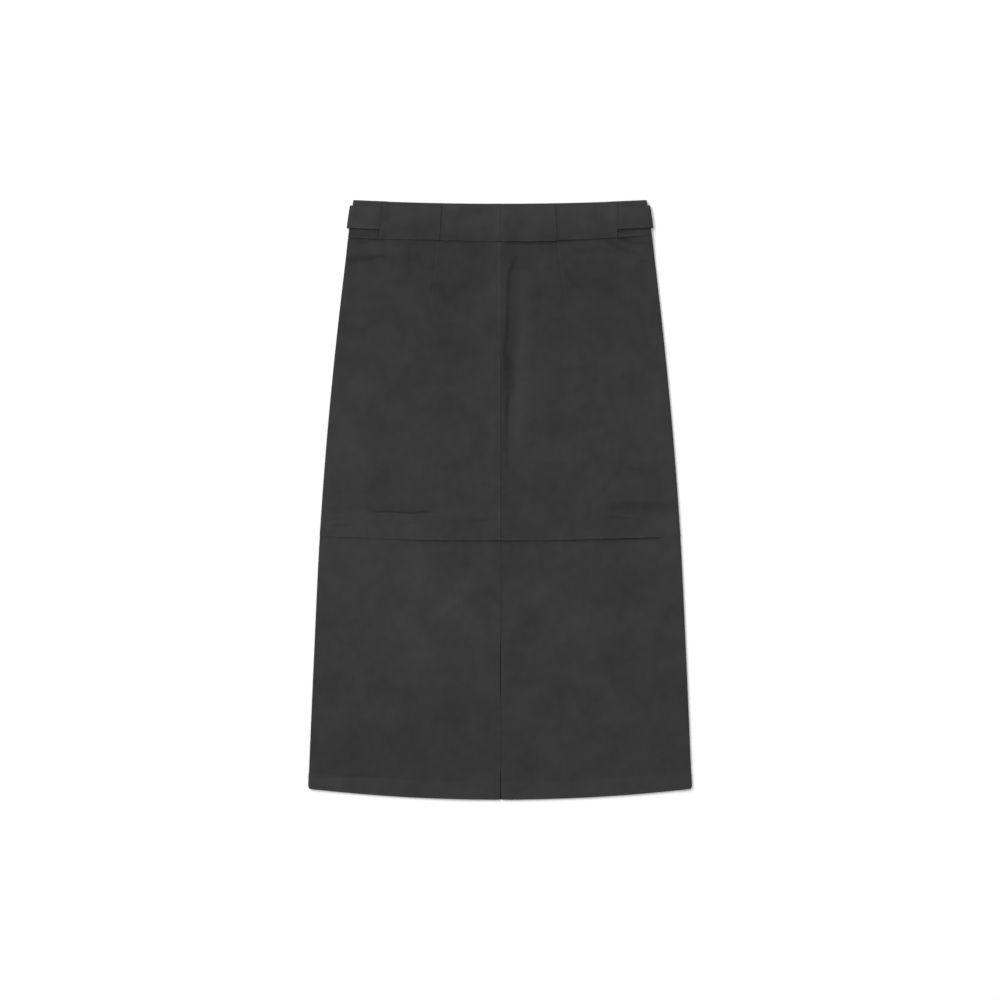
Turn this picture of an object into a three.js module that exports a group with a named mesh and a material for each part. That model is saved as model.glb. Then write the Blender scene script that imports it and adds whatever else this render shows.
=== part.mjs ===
// A midi A-line skirt of washed charcoal twill, laid flat with its darted face up.
// Units are millimetres: X runs across the skirt, Y from hem to waist, Z up from the table.
// The origin is on the table, under the middle of the skirt's outline.
// Left and right are as seen from above, with the waist away from the viewer.
// "Drop" is the distance below the waist's top edge, measured down the side of the laid skirt.
import * as THREE from "three";

// Driving sizes of the laid skirt.
const WAIST_SEAM = 46; // drop of the seam under the waistband
const KNEE_SEAM = 421.5; // drop of the seam that joins the upper and lower panels
const HEM = 738; // drop of the hem at the side
const HEM_DEPTH = 20; // height of the turned-up hem
const VENT_TOP = 543; // drop where the centre seam opens into the vent
const VENT_FACING = 13; // width turned in along each edge of the vent
const DART_LENGTH = 78;
const TAB_TOP = 7; // drop of a side tab's upper edge
const TAB_BOTTOM = 35;
const TAB_SLACK = 1.4; // how far the tab's loop stands out at the side

// At each drop: half of the laid width, how much lower the middle lies than the sides,
// and how much the right side lies above the left, as the skirt was put down a little askew.
const OUTLINE = [
  { drop: 0, half: 184, sag: 4.4, lean: 0 },
  { drop: TAB_BOTTOM, half: 189.1, sag: 5.35, lean: 0.6 },
  { drop: WAIST_SEAM, half: 190.6, sag: 5.6, lean: 3.4 },
  { drop: 175, half: 205.4, sag: 5.1, lean: 1 },
  { drop: 300, half: 217.4, sag: 4.6, lean: 0 },
  { drop: KNEE_SEAM, half: 226.2, sag: 5.3, lean: 0 },
  { drop: 577, half: 233.7, sag: 9, lean: 0 },
  { drop: HEM, half: 240.6, sag: 13.8, lean: 0 },
];
const HEM_ROW = OUTLINE[OUTLINE.length - 1];
const TOP_Y = (HEM_ROW.drop + HEM_ROW.sag) / 2; // puts the outline's middle at Y 0
const HEM_CORNER = 1.4; // how much the hem's rounded corners are drawn in
const HEM_CORNER_RISE = 3.5;

// Thicknesses, and the clearance between pieces at a seam.
const CLOTH = 1.2;
const TURNED = 2; // two plies, at the hem and along the vent
const BAND = 2; // waistband: two plies and a stiffener
const TAB = 1.6;
const SEAM_GAP = 0.3;
const STEP = 2; // half of the width over which a thickness changes

// Heights of the upper layer's outer face above the table.
const REST = 3.8;
const REST_AT_WAIST = 4;
const REST_AT_HEM = 4.7;
const BAND_TOP = 4.9;
const EDGE = 4.8; // at the rolled side edges
const EDGE_AT_HEM = 5;
const EDGE_REACH = 22; // how far in from the roll the cloth settles to its rest height
const TAB_LIFT = TAB + SEAM_GAP; // the tab under the waistband lifts the stack by this much
const LIFT_REACH = 12; // how far in from the tab seam that lift starts
const LIFT_FADE = 30; // how far below the waistband it fades out

// Seams down the waistband: X of each at its top edge and at the waist seam.
const BAND_SEAMS = {
  tabLeft: { top: -147.2, bottom: -152.5 },
  dartLeft: { top: -73.2, bottom: -75.8 },
  centre: { top: 0, bottom: 0 },
  dartRight: { top: 69.2, bottom: 71.7 },
  tabRight: { top: 147, bottom: 147 },
};

// A seam's allowance is pressed to one side and raises that panel; the other side dips.
const LAP_WIDTH = 10;
const LAP_HEIGHT = 0.7;
const BAND_LAP_SHARE = 0.6; // how much of that shows through the waistband
const SEAM_DIP = 0.3;
const DIP_REACH = 7;
const KNEE_DIP_REACH = 14;

// The vent's edges lie parted, and their lower corners a little more.
const VENT_PARTING = 0.35;
const VENT_PARTING_REACH = 25;
const VENT_CORNER = 1.1;
const VENT_CORNER_RISE = 8;

// Darts: X of each one's middle at the waist seam and at its point.
const DARTS = {
  left: { top: -79.5, tip: -87 },
  right: { top: 70.5, tip: 81.5 },
};
const DART_DEPTH = 0.5;
const DART_HALF_WIDTH = 3.5;
const DART_FADE = 15; // length over which the groove runs out at the point
const DART_COLUMN = 0.4; // share of the panel's width whose grid line follows the dart
const DART_PULL = 0.1; // grid lines within this share of it follow the dart too

// Soft troughs (negative height) and ridges of the upper layer, from point to point.
const FOLDS = [
  { x1: -183, y1: -13, x2: -85, y2: -14, width: 4.5, height: -0.8 },
  { x1: -85, y1: -26, x2: -14, y2: -26, width: 4, height: -0.35 },
  { x1: 146, y1: -10, x2: 219, y2: -9, width: 7, height: -0.9 },
  { x1: 195, y1: 40, x2: 153, y2: 39, width: 6, height: -0.4 },
  { x1: 153, y1: 39, x2: 131, y2: 9, width: 6, height: -0.5 },
  { x1: -186, y1: 312, x2: -126, y2: 313, width: 8, height: 0.9 },
  { x1: -188, y1: 301, x2: -146, y2: 303, width: 4, height: -0.8 },
  { x1: 151, y1: 327, x2: 170, y2: 321, width: 3.5, height: -0.8 },
  { x1: 170, y1: 321, x2: 187, y2: 320, width: 3.5, height: -0.8 },
  { x1: 137, y1: 322, x2: 167, y2: 310, width: 3.5, height: -0.7 },
  { x1: 92, y1: 311, x2: 146, y2: 311, width: 5, height: -0.4 },
  { x1: 20, y1: 304, x2: 11.5, y2: 285, width: 4, height: -0.7 },
  { x1: 11.5, y1: 285, x2: 6.5, y2: 194, width: 4, height: -0.8 },
  { x1: 6.5, y1: 194, x2: 4, y2: 62, width: 4, height: -0.7 },
  { x1: 29, y1: 282, x2: 30, y2: 200, width: 9, height: 0.8 },
  { x1: 30, y1: 200, x2: 21, y2: 75, width: 9, height: 0.8 },
  { x1: -80, y1: -150, x2: -20, y2: -82, width: 10, height: 0.6 },
  { x1: -60, y1: -270, x2: -150, y2: -235, width: 16, height: -0.4 },
  { x1: 60, y1: -120, x2: 120, y2: -190, width: 18, height: 0.4 },
];
const HEM_STIFFNESS = 0.6; // share of the folds' height that the doubled hem takes away

// Broad waves of the upper layer: height, and the wavelength along X and along Y.
const WAVES = [
  { height: 0.3, across: 380, along: 520, phase: 0.8 },
  { height: 0.2, across: 230, along: -340, phase: 2.1 },
];

// Grid lines: drops of the rows, and shares of the panel's half width for the columns.
const UPPER_ROWS = [
  46, 49, 53, 58, 64, 70, 77, 90, 106, 124, 142, 166, 192, 220, 250, 280, 310, 338, 360, 374,
  383, 388, 393, 401, 409, 414, 419, KNEE_SEAM,
];
const LOWER_ROWS = [
  KNEE_SEAM, 426, 432, 440, 456, 482, 514, 540, 546, 580, 614, 648, 682, 708, 716, 720, 734.5,
  738,
];
const FRONT_UPPER_ROWS = [46, 53, 58, 64, 70, 77, 106, 142, 192, 250, 310, 374, KNEE_SEAM];
const FRONT_LOWER_ROWS = [KNEE_SEAM, 440, 482, 545, 614, 682, 716, 720, 734.5, 738];
const BAND_ROWS = [0, 2, TAB_TOP, 15, 26, TAB_BOTTOM, 43, 46];
const TAB_ROWS = [TAB_TOP, 10, 18, 27, 33, TAB_BOTTOM];
const UPPER_COLUMNS = [
  0, 0.016, 0.036, 0.06, 0.09, 0.13, 0.18, 0.25, 0.33, 0.385, 0.4, 0.415, 0.47, 0.56, 0.65,
  0.74, 0.82, 0.89, 0.95, 1,
];
const LOWER_COLUMNS = [
  0, 0.015, 0.035, 0.052, 0.066, 0.11, 0.2, 0.32, 0.44, 0.56, 0.68, 0.79, 0.88, 0.95, 1,
];
const FRONT_COLUMNS = [0.2, 0.45, 0.7, 0.82, 0.91, 1];
const BAND_STEPS = 5; // across one waistband piece of the upper layer
const FRONT_BAND_STEPS = 15;
const WRAP_STEPS = 4; // across the flat of a piece that wraps the side
const ROLL_STEPS = 3; // round a quarter turn
const TURN_STEPS = 6; // round a half turn

const CHARCOAL = 0x383838;

const SIDES = [
  { name: "left", sign: -1 },
  { name: "right", sign: 1 },
];

const mix = (a, b, share) => a + (b - a) * share;

// 0 before "from", 1 past "to", with a soft rise between them.
function ramp(at, from, to) {
  const t = Math.min(1, Math.max(0, (at - from) / (to - from)));
  return t * t * (3 - 2 * t);
}

// A column of OUTLINE at any drop, on a smooth curve through its rows.
function outlineAt(drop, column) {
  const last = OUTLINE.length - 1;
  const found = OUTLINE.findIndex((row) => row.drop >= drop);
  const i = found < 0 ? last : Math.max(1, found);
  const a = OUTLINE[i - 1];
  const b = OUTLINE[i];
  const before = OUTLINE[Math.max(0, i - 2)];
  const after = OUTLINE[Math.min(last, i + 1)];
  const span = b.drop - a.drop;
  const rise = (p, q) => ((q[column] - p[column]) / (q.drop - p.drop)) * span;
  const t = (drop - a.drop) / span;
  return (
    a[column] * (2 * t ** 3 - 3 * t ** 2 + 1) +
    b[column] * (3 * t ** 2 - 2 * t ** 3) +
    rise(before, b) * (t ** 3 - 2 * t ** 2 + t) +
    rise(a, after) * (t ** 3 - t ** 2)
  );
}

const halfAt = (drop) => outlineAt(drop, "half");

function yAt(x, drop) {
  const share = x / halfAt(drop);
  const sag = outlineAt(drop, "sag") * (1 - share * share);
  return TOP_Y - drop - sag + (outlineAt(drop, "lean") / 2) * share;
}

const point = (x, drop, z) => new THREE.Vector3(x, yAt(x, drop), z);

// Thicknesses and clearances at each place.
const hemShare = (drop) => ramp(drop, HEM - HEM_DEPTH - STEP, HEM - HEM_DEPTH + STEP);

function ventShare(x, drop) {
  const opened = ramp(drop, VENT_TOP - STEP, VENT_TOP + STEP);
  return opened * (1 - ramp(Math.abs(x), VENT_FACING - STEP, VENT_FACING + STEP));
}

const frontWall = (drop) => mix(CLOTH, TURNED, hemShare(drop));
const backWall = (x, drop) => mix(CLOTH, TURNED, Math.max(hemShare(drop), ventShare(x, drop)));
const edgeTop = (drop) => mix(EDGE, EDGE_AT_HEM, hemShare(drop));
const hemCorner = (drop) => HEM_CORNER * ramp(drop, HEM - HEM_CORNER_RISE, HEM);
const rollStart = (drop) => halfAt(drop) - edgeTop(drop) / 2;

// Half of the gap between the two back panels.
function centreGap(drop) {
  const parting = VENT_PARTING * ramp(drop, VENT_TOP, VENT_TOP + VENT_PARTING_REACH);
  const corner = VENT_CORNER * ramp(drop, HEM - VENT_CORNER_RISE, HEM);
  return SEAM_GAP / 2 + parting + corner;
}

const seamX = (seam, drop) => mix(seam.top, seam.bottom, drop / WAIST_SEAM);

// How far from the centre line the seam that holds a side's tab lies.
function tabSeamAt(side, drop) {
  const seam = side < 0 ? BAND_SEAMS.tabLeft : BAND_SEAMS.tabRight;
  return Math.abs(seamX(seam, drop));
}

// How far the tab underneath lifts everything above it.
function liftAt(x, drop) {
  const seam = tabSeamAt(x, Math.min(drop, WAIST_SEAM));
  const across = ramp(Math.abs(x), seam - LIFT_REACH, seam);
  return TAB_LIFT * across * (1 - ramp(drop, WAIST_SEAM, WAIST_SEAM + LIFT_FADE));
}

// Relief of the upper layer.
function distanceToFold(x, y, fold) {
  const dx = fold.x2 - fold.x1;
  const dy = fold.y2 - fold.y1;
  const along = ((x - fold.x1) * dx + (y - fold.y1) * dy) / (dx * dx + dy * dy);
  const t = Math.min(1, Math.max(0, along));
  return Math.hypot(x - fold.x1 - t * dx, y - fold.y1 - t * dy);
}

function foldHeight(x, y) {
  let height = 0;
  for (const fold of FOLDS) {
    const share = distanceToFold(x, y, fold) / fold.width;
    height += fold.height * Math.exp(-share * share);
  }
  for (const wave of WAVES) {
    const turns = x / wave.across + y / wave.along;
    height += wave.height * Math.sin(2 * Math.PI * turns + wave.phase);
  }
  return height;
}

function dartCentre(dart, drop) {
  return mix(dart.top, dart.tip, Math.min(1, (drop - WAIST_SEAM) / DART_LENGTH));
}

function dartHeight(x, drop) {
  const dart = x < 0 ? DARTS.left : DARTS.right;
  const tip = WAIST_SEAM + DART_LENGTH;
  const across = 1 - ramp(Math.abs(x - dartCentre(dart, drop)), 0, DART_HALF_WIDTH);
  return -DART_DEPTH * across * (1 - ramp(drop, tip - DART_FADE, tip));
}

// The centre seam's allowance is pressed to the left.
function centreSeamHeight(x) {
  const lap = LAP_HEIGHT * (1 - ramp(-x, LAP_WIDTH - STEP, LAP_WIDTH + STEP));
  const dip = SEAM_DIP * (1 - ramp(x, 0, DIP_REACH));
  return x < 0 ? lap : -dip;
}

// The knee seam's allowance is pressed up.
function kneeSeamHeight(drop, isUpper) {
  const lapTop = KNEE_SEAM - LAP_WIDTH;
  const lap = LAP_HEIGHT * ramp(drop, lapTop - STEP, lapTop + STEP);
  const dip = SEAM_DIP * (1 - ramp(drop, KNEE_SEAM, KNEE_SEAM + KNEE_DIP_REACH));
  return isUpper ? lap : -dip;
}

// Height of the back's outer face.
function backTop(x, drop, isUpper) {
  const waistShare = 1 - ramp(drop, WAIST_SEAM, WAIST_SEAM + LIFT_FADE);
  const rest = mix(mix(REST, REST_AT_WAIST, waistShare), REST_AT_HEM, hemShare(drop));
  const folds = foldHeight(x, yAt(x, drop)) * (1 - HEM_STIFFNESS * hemShare(drop));
  const seams = dartHeight(x, drop) + centreSeamHeight(x) + kneeSeamHeight(drop, isUpper);
  const lowest = frontWall(drop) + SEAM_GAP + backWall(x, drop);
  const inner = Math.max(lowest, rest + folds + seams);
  const nearEdge = 1 - ramp(rollStart(drop) - Math.abs(x), 0, EDGE_REACH);
  return liftAt(x, drop) + mix(inner, edgeTop(drop), nearEdge);
}

// Moves a column's share so that the grid's dart column lies on the dart.
function alongDart(share, side, drop) {
  const dart = side < 0 ? DARTS.left : DARTS.right;
  const centre = Math.abs(dartCentre(dart, drop)) / rollStart(drop);
  const pull = Math.max(0, 1 - Math.abs(share - DART_COLUMN) / DART_PULL);
  return share + pull * (centre - DART_COLUMN);
}

// A row of a wall is two lists of matching points, on its outer and on its inner face.
// Rows run from left to right, so a row built outwards on the left side is reversed.
const reversed = (row) => ({
  outer: [...row.outer].reverse(),
  inner: [...row.inner].reverse(),
});

const joined = (left, right) => ({
  outer: [...left.outer, ...right.outer],
  inner: [...left.inner, ...right.inner],
});

const fromLeft = (row, side) => (side < 0 ? reversed(row) : row);

// Carries a row round the side edge, down (facing 1) or up (facing -1) to the side seam.
function addRoll(row, drop, side, facing) {
  const radius = edgeTop(drop) / 2;
  const start = rollStart(drop) - hemCorner(drop);
  const middle = liftAt(halfAt(drop), drop) + radius;
  const faces = [
    { points: row.outer, r: radius },
    { points: row.inner, r: radius - frontWall(drop) },
  ];
  for (const { points, r } of faces) {
    const end = Math.acos(SEAM_GAP / 2 / r);
    for (let k = 1; k <= ROLL_STEPS; k++) {
      const angle = (end * k) / ROLL_STEPS;
      const x = side * (start + r * Math.sin(angle));
      points.push(point(x, drop, middle + facing * r * Math.cos(angle)));
    }
  }
}

function backRow(drop, side, columns, isUpper) {
  const row = { outer: [], inner: [] };
  for (const column of columns) {
    const share = isUpper ? alongDart(column, side, drop) : column;
    const reach = share * rollStart(drop) - column * hemCorner(drop);
    const x = side * Math.max(centreGap(drop), reach);
    const top = backTop(x, drop, isUpper);
    row.outer.push(point(x, drop, top));
    row.inner.push(point(x, drop, top - backWall(x, drop)));
  }
  addRoll(row, drop, side, 1);
  return fromLeft(row, side);
}

function frontHalfRow(drop, side) {
  const row = { outer: [], inner: [] };
  for (const column of FRONT_COLUMNS) {
    const x = side * column * (rollStart(drop) - hemCorner(drop));
    const bottom = liftAt(x, drop);
    row.outer.push(point(x, drop, bottom));
    row.inner.push(point(x, drop, bottom + frontWall(drop)));
  }
  addRoll(row, drop, side, -1);
  return fromLeft(row, side);
}

const frontRow = (drop) => joined(frontHalfRow(drop, -1), frontHalfRow(drop, 1));

// A flat stretch of the waistband between two seams.
function bandRow(drop, from, to, steps, facing) {
  const row = { outer: [], inner: [] };
  const start = seamX(from, drop) + SEAM_GAP / 2;
  const end = seamX(to, drop) - SEAM_GAP / 2;
  for (let k = 0; k <= steps; k++) {
    const x = mix(start, end, k / steps);
    const top = BAND_TOP + BAND_LAP_SHARE * centreSeamHeight(x);
    const outer = liftAt(x, drop) + (facing > 0 ? top : 0);
    row.outer.push(point(x, drop, outer));
    row.inner.push(point(x, drop, outer - facing * BAND));
  }
  return row;
}

// A piece that wraps the side of the waist: over the top, round the edge and back below.
// Its inner face stands off the waistband's outer face by "proud", and by "slack" more
// where it turns.
function wrapRow(drop, side, { clearance, proud, slack, wall }) {
  const radius = BAND_TOP / 2;
  const start = tabSeamAt(side, drop) + clearance;
  const edge = halfAt(drop) - radius;
  const middle = TAB_LIFT + radius;
  const row = { outer: [], inner: [] };
  const faces = [
    { points: row.outer, r: radius + proud + wall },
    { points: row.inner, r: radius + proud },
  ];
  for (const { points, r } of faces) {
    for (let k = 0; k < WRAP_STEPS; k++)
      points.push(point(side * mix(start, edge, k / WRAP_STEPS), drop, middle + r));
    for (let k = 0; k <= TURN_STEPS; k++) {
      const angle = (Math.PI * k) / TURN_STEPS;
      const x = side * (edge + (r + slack) * Math.sin(angle));
      points.push(point(x, drop, middle + r * Math.cos(angle)));
    }
    for (let k = WRAP_STEPS - 1; k >= 0; k--)
      points.push(point(side * mix(start, edge, k / WRAP_STEPS), drop, middle - r));
  }
  return fromLeft(row, side);
}

const SIDE_BAND_WRAP = { clearance: SEAM_GAP / 2, proud: -BAND, slack: 0, wall: BAND };
const TAB_WRAP = { clearance: 2 * SEAM_GAP, proud: SEAM_GAP, slack: TAB_SLACK, wall: TAB };

// Closes rows of matching outer and inner points into one solid wall.
function wallGeometry(rows, facing) {
  const across = rows[0].outer.length;
  const down = rows.length;
  const lastRow = down - 1;
  const lastColumn = across - 1;
  const outer = (r, c) => r * across + c;
  const inner = (r, c) => (down + r) * across + c;
  const index = [];
  const quad = (a, b, c, d) => {
    const corners = facing > 0 ? [a, b, c, a, c, d] : [a, c, b, a, d, c];
    index.push(...corners);
  };
  for (let r = 0; r < lastRow; r++) {
    for (let c = 0; c < lastColumn; c++) {
      quad(outer(r, c), outer(r + 1, c), outer(r + 1, c + 1), outer(r, c + 1));
      quad(inner(r, c), inner(r, c + 1), inner(r + 1, c + 1), inner(r + 1, c));
    }
    quad(outer(r, 0), inner(r, 0), inner(r + 1, 0), outer(r + 1, 0));
    quad(
      outer(r, lastColumn),
      outer(r + 1, lastColumn),
      inner(r + 1, lastColumn),
      inner(r, lastColumn),
    );
  }
  for (let c = 0; c < lastColumn; c++) {
    quad(outer(0, c), outer(0, c + 1), inner(0, c + 1), inner(0, c));
    quad(outer(lastRow, c), inner(lastRow, c), inner(lastRow, c + 1), outer(lastRow, c + 1));
  }
  const points = [...rows.flatMap((row) => row.outer), ...rows.flatMap((row) => row.inner)];
  const geometry = new THREE.BufferGeometry().setFromPoints(points);
  geometry.setIndex(index);
  geometry.computeVertexNormals();
  return geometry;
}

// Rows drawn back from a seam by half of its gap, at the first and the last drop.
function seamed(drops, hasTopSeam, hasBottomSeam) {
  const rows = [...drops];
  if (hasTopSeam) rows[0] += SEAM_GAP / 2;
  if (hasBottomSeam) rows[rows.length - 1] -= SEAM_GAP / 2;
  return rows;
}

function twill() {
  return new THREE.MeshStandardMaterial({
    color: CHARCOAL,
    roughness: 0.92,
    metalness: 0,
    side: THREE.DoubleSide,
  });
}

// facing is 1 for the upper layer and -1 for the layer that lies on the table.
function clothPiece(name, rows, facing = 1) {
  const mesh = new THREE.Mesh(wallGeometry(rows, facing), twill());
  mesh.name = name;
  return mesh;
}

function backPanels() {
  const group = new THREE.Group();
  const upperDrops = seamed(UPPER_ROWS, true, true);
  const lowerDrops = seamed(LOWER_ROWS, true, false);
  for (const { name, sign } of SIDES) {
    const upper = upperDrops.map((drop) => backRow(drop, sign, UPPER_COLUMNS, true));
    const lower = lowerDrops.map((drop) => backRow(drop, sign, LOWER_COLUMNS, false));
    group.add(clothPiece(`back_upper_${name}`, upper));
    group.add(clothPiece(`back_lower_${name}`, lower));
  }
  return group;
}

function frontPanels() {
  const group = new THREE.Group();
  const upper = seamed(FRONT_UPPER_ROWS, true, true).map(frontRow);
  const lower = seamed(FRONT_LOWER_ROWS, true, false).map(frontRow);
  group.add(clothPiece("front_upper", upper, -1));
  group.add(clothPiece("front_lower", lower, -1));
  return group;
}

function waistband() {
  const group = new THREE.Group();
  const drops = seamed(BAND_ROWS, false, true);
  const { tabLeft, dartLeft, centre, dartRight, tabRight } = BAND_SEAMS;
  const pieces = [
    { name: "waistband_back_outer_left", from: tabLeft, to: dartLeft },
    { name: "waistband_back_inner_left", from: dartLeft, to: centre },
    { name: "waistband_back_inner_right", from: centre, to: dartRight },
    { name: "waistband_back_outer_right", from: dartRight, to: tabRight },
  ];
  for (const { name, from, to } of pieces) {
    const rows = drops.map((drop) => bandRow(drop, from, to, BAND_STEPS, 1));
    group.add(clothPiece(name, rows));
  }
  const front = drops.map((drop) => bandRow(drop, tabLeft, tabRight, FRONT_BAND_STEPS, -1));
  group.add(clothPiece("waistband_front", front, -1));
  for (const { name, sign } of SIDES) {
    const rows = drops.map((drop) => wrapRow(drop, sign, SIDE_BAND_WRAP));
    group.add(clothPiece(`waistband_side_${name}`, rows));
  }
  return group;
}

function sideTabs() {
  const group = new THREE.Group();
  for (const { name, sign } of SIDES) {
    const rows = TAB_ROWS.map((drop) => wrapRow(drop, sign, TAB_WRAP));
    group.add(clothPiece(`side_tab_${name}`, rows));
  }
  return group;
}

const skirt = new THREE.Group();
skirt.add(backPanels(), frontPanels(), waistband(), sideTabs());
export default skirt;
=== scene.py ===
# %% [markdown]
# # A midi A-line skirt of washed charcoal twill, laid flat
# The real skirt is cut from flat pieces of cloth and sewn: two upper and two lower panels at the
# back, the same without a centre seam at the front, a waistband in several pieces, and two short
# side tabs. It lies on a table with its darted back face up, photographed from straight above.
#
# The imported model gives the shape, as one rigid solid for each cut piece. Here each solid is
# replaced by a finer shell on the same form, so that folded edges, puckers and creases catch the
# light as cloth does. The topstitching is added with Geometry Nodes.

import bpy
import numpy as np
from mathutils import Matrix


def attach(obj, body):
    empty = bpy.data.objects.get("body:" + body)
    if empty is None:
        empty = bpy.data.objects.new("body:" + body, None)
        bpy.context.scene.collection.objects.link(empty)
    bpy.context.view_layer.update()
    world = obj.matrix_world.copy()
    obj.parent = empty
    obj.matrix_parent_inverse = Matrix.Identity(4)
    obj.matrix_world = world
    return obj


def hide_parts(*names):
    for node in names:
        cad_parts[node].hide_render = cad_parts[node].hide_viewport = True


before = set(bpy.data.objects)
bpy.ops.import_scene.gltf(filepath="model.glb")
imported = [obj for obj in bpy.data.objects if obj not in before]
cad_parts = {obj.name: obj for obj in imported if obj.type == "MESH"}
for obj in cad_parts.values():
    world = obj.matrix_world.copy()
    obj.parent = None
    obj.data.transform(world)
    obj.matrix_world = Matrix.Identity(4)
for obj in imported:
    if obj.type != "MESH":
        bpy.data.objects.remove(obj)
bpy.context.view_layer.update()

# %% [markdown]
# ## Sizes
# A maker thinks of a skirt in drops: how far below the waist's top edge each seam lies, measured
# down the side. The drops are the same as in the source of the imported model, in millimetres. The
# cloth is thinner here, as the real one is, so some of the heights differ. Meshes are scaled to
# metres only when they are made.

# %% Main sizes
MM = 0.001
WAIST_SEAM = 46.0  # drop of the seam under the waistband
KNEE_SEAM = 421.5  # drop of the seam that joins the upper and lower panels
HEM = 738.0
HEM_DEPTH = 20.0
VENT_TOP = 543.0  # drop where the centre seam opens into the vent
VENT_FACING = 13.0
DART_LENGTH = 78.0
TAB_TOP = 7.0
TAB_BOTTOM = 35.0

# At each drop: half of the laid width, how much lower the middle lies than the sides, and how
# much the right side lies above the left, as the skirt was put down a little askew.
OUTLINE_DROPS = (0, TAB_BOTTOM, WAIST_SEAM, 175, 300, KNEE_SEAM, 577, HEM)
HALF_WIDTHS = (184, 189.1, 190.6, 205.4, 217.4, 226.2, 233.7, 240.6)
SAGS = (4.4, 5.35, 5.6, 5.1, 4.6, 5.3, 9, 13.8)
LEANS = (0, 0.6, 3.4, 1, 0, 0, 0, 0)
TOP_Y = (HEM + SAGS[-1]) / 2  # puts the outline's middle at Y 0
CENTRE_SEAM = 0.8  # X of the centre seam, a little to the right of the outline's middle

# Seams down the waistband: X of each at its top edge and at the waist seam.
BAND_SEAMS = {
    "tab_left": (-147.2, -152.5),
    "dart_left": (-73.2, -75.8),
    "centre": (CENTRE_SEAM, CENTRE_SEAM),
    "dart_right": (69.2, 71.7),
    "tab_right": (147.0, 147.0),
}

# Thicknesses of the cloth, and where its two layers lie above the table.
CLOTH = 0.7
TURNED = 1.5  # hem and vent facing: two plies
BAND = 1.4
TAB = 1.3
UNDERSIDE = 0.2  # the lower layer's outer face
REST = 3.8  # the upper layer's outer face
REST_AT_WAIST = 3.9
REST_AT_HEM = 3.9
BAND_TOP = 4.75
EDGE = 4.8  # at the rolled side edges
EDGE_AT_HEM = 5.0
EDGE_REACH = 22.0  # how far in from the roll the cloth settles to its rest height
TAB_LIFT = 1.9  # the tab underneath lifts the stack at the side of the waist
LIFT_REACH = 12.0
LIFT_FADE = 30.0

# %% Curves of the outline
def mix(a, b, share):
    return a + (b - a) * share


def ramp(at, start, end):
    """0 before start, 1 past end, with a soft rise between them."""
    t = np.clip((at - start) / (end - start), 0, 1)
    return t * t * (3 - 2 * t)


def outline_at(drop, values):
    """A value of the outline at any drop, on a smooth curve through its rows."""
    drops = np.array(OUTLINE_DROPS, float)
    values = np.array(values, float)
    last = len(drops) - 1
    b = np.clip(np.searchsorted(drops, drop), 1, last)
    a = b - 1
    before = np.maximum(a - 1, 0)
    after = np.minimum(b + 1, last)
    span = drops[b] - drops[a]
    slope_a = (values[b] - values[before]) / (drops[b] - drops[before]) * span
    slope_b = (values[after] - values[a]) / (drops[after] - drops[a]) * span
    t = (drop - drops[a]) / span
    return (
        values[a] * (2 * t**3 - 3 * t**2 + 1)
        + values[b] * (3 * t**2 - 2 * t**3)
        + slope_a * (t**3 - 2 * t**2 + t)
        + slope_b * (t**3 - t**2)
    )


def half_at(drop):
    return outline_at(drop, HALF_WIDTHS)


def at_places(at, table):
    """A value that changes along a seam, from its table of places and values."""
    places, values = zip(*table)
    return np.interp(at, places, values)


def seam_x(name, drop):
    return mix(*BAND_SEAMS[name], drop / WAIST_SEAM)


def tab_seam_at(side, drop):
    """How far from the centre line the seam that holds a side's tab lies."""
    return np.where(side < 0, -seam_x("tab_left", drop), seam_x("tab_right", drop))


# %% Seams that wander
# No sewn seam is quite straight: how far the two seams across stray at each X, in drop.
WAIST_WANDER = ((-190, 0), (-150, 0), (-125, -1), (-88, -1), (-60, -0.4), (-25, -0.2), (0, 0.2),
                (35, 1), (63, 1), (88, 0.4), (132, 0.3), (190, 0))
KNEE_WANDER = ((-226, 0), (-180, -0.2), (-130, 0.1), (-70, 0.3), (0, 0), (60, 0.4), (120, -0.2),
               (226, 0))
WANDER_REACH = 9.0  # above and below the seam
RIPPLE = 0.22  # height of the small uneven waves along a seam
NOISE_WAVES = 14


def soft_noise(x, y, size, seed):
    """Smooth uneven waves of about this size, mostly between -1 and 1, fixed by their seed."""
    rng = np.random.default_rng(seed)
    total = 0
    for _ in range(NOISE_WAVES):
        angle, phase = rng.uniform(0, 2 * np.pi, 2)
        length = size * rng.uniform(0.7, 1.8)
        turns = (x * np.cos(angle) + y * np.sin(angle)) / length
        total = total + np.sin(2 * np.pi * turns + phase)
    return total / np.sqrt(NOISE_WAVES)


def wander(x, drop):
    total = 0
    for seam, table, seed in ((WAIST_SEAM, WAIST_WANDER, 24), (KNEE_SEAM, KNEE_WANDER, 25)):
        near = np.exp(-(((drop - seam) / WANDER_REACH) ** 2))
        ripple = RIPPLE * soft_noise(x, 0, 16, seed) * (1 - ramp(np.abs(x), 150, 180))
        total = total + near * (at_places(x, table) + ripple)
    return total


def y_at(x, drop):
    share = x / half_at(drop)
    sag = outline_at(drop, SAGS) * (1 - share**2)
    return TOP_Y - drop - wander(x, drop) - sag + outline_at(drop, LEANS) / 2 * share


print("laid waist:", 2 * half_at(0.0), "laid hem:", 2 * half_at(HEM))
print("top edge at Y:", y_at(0.0, 0.0))
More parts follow.
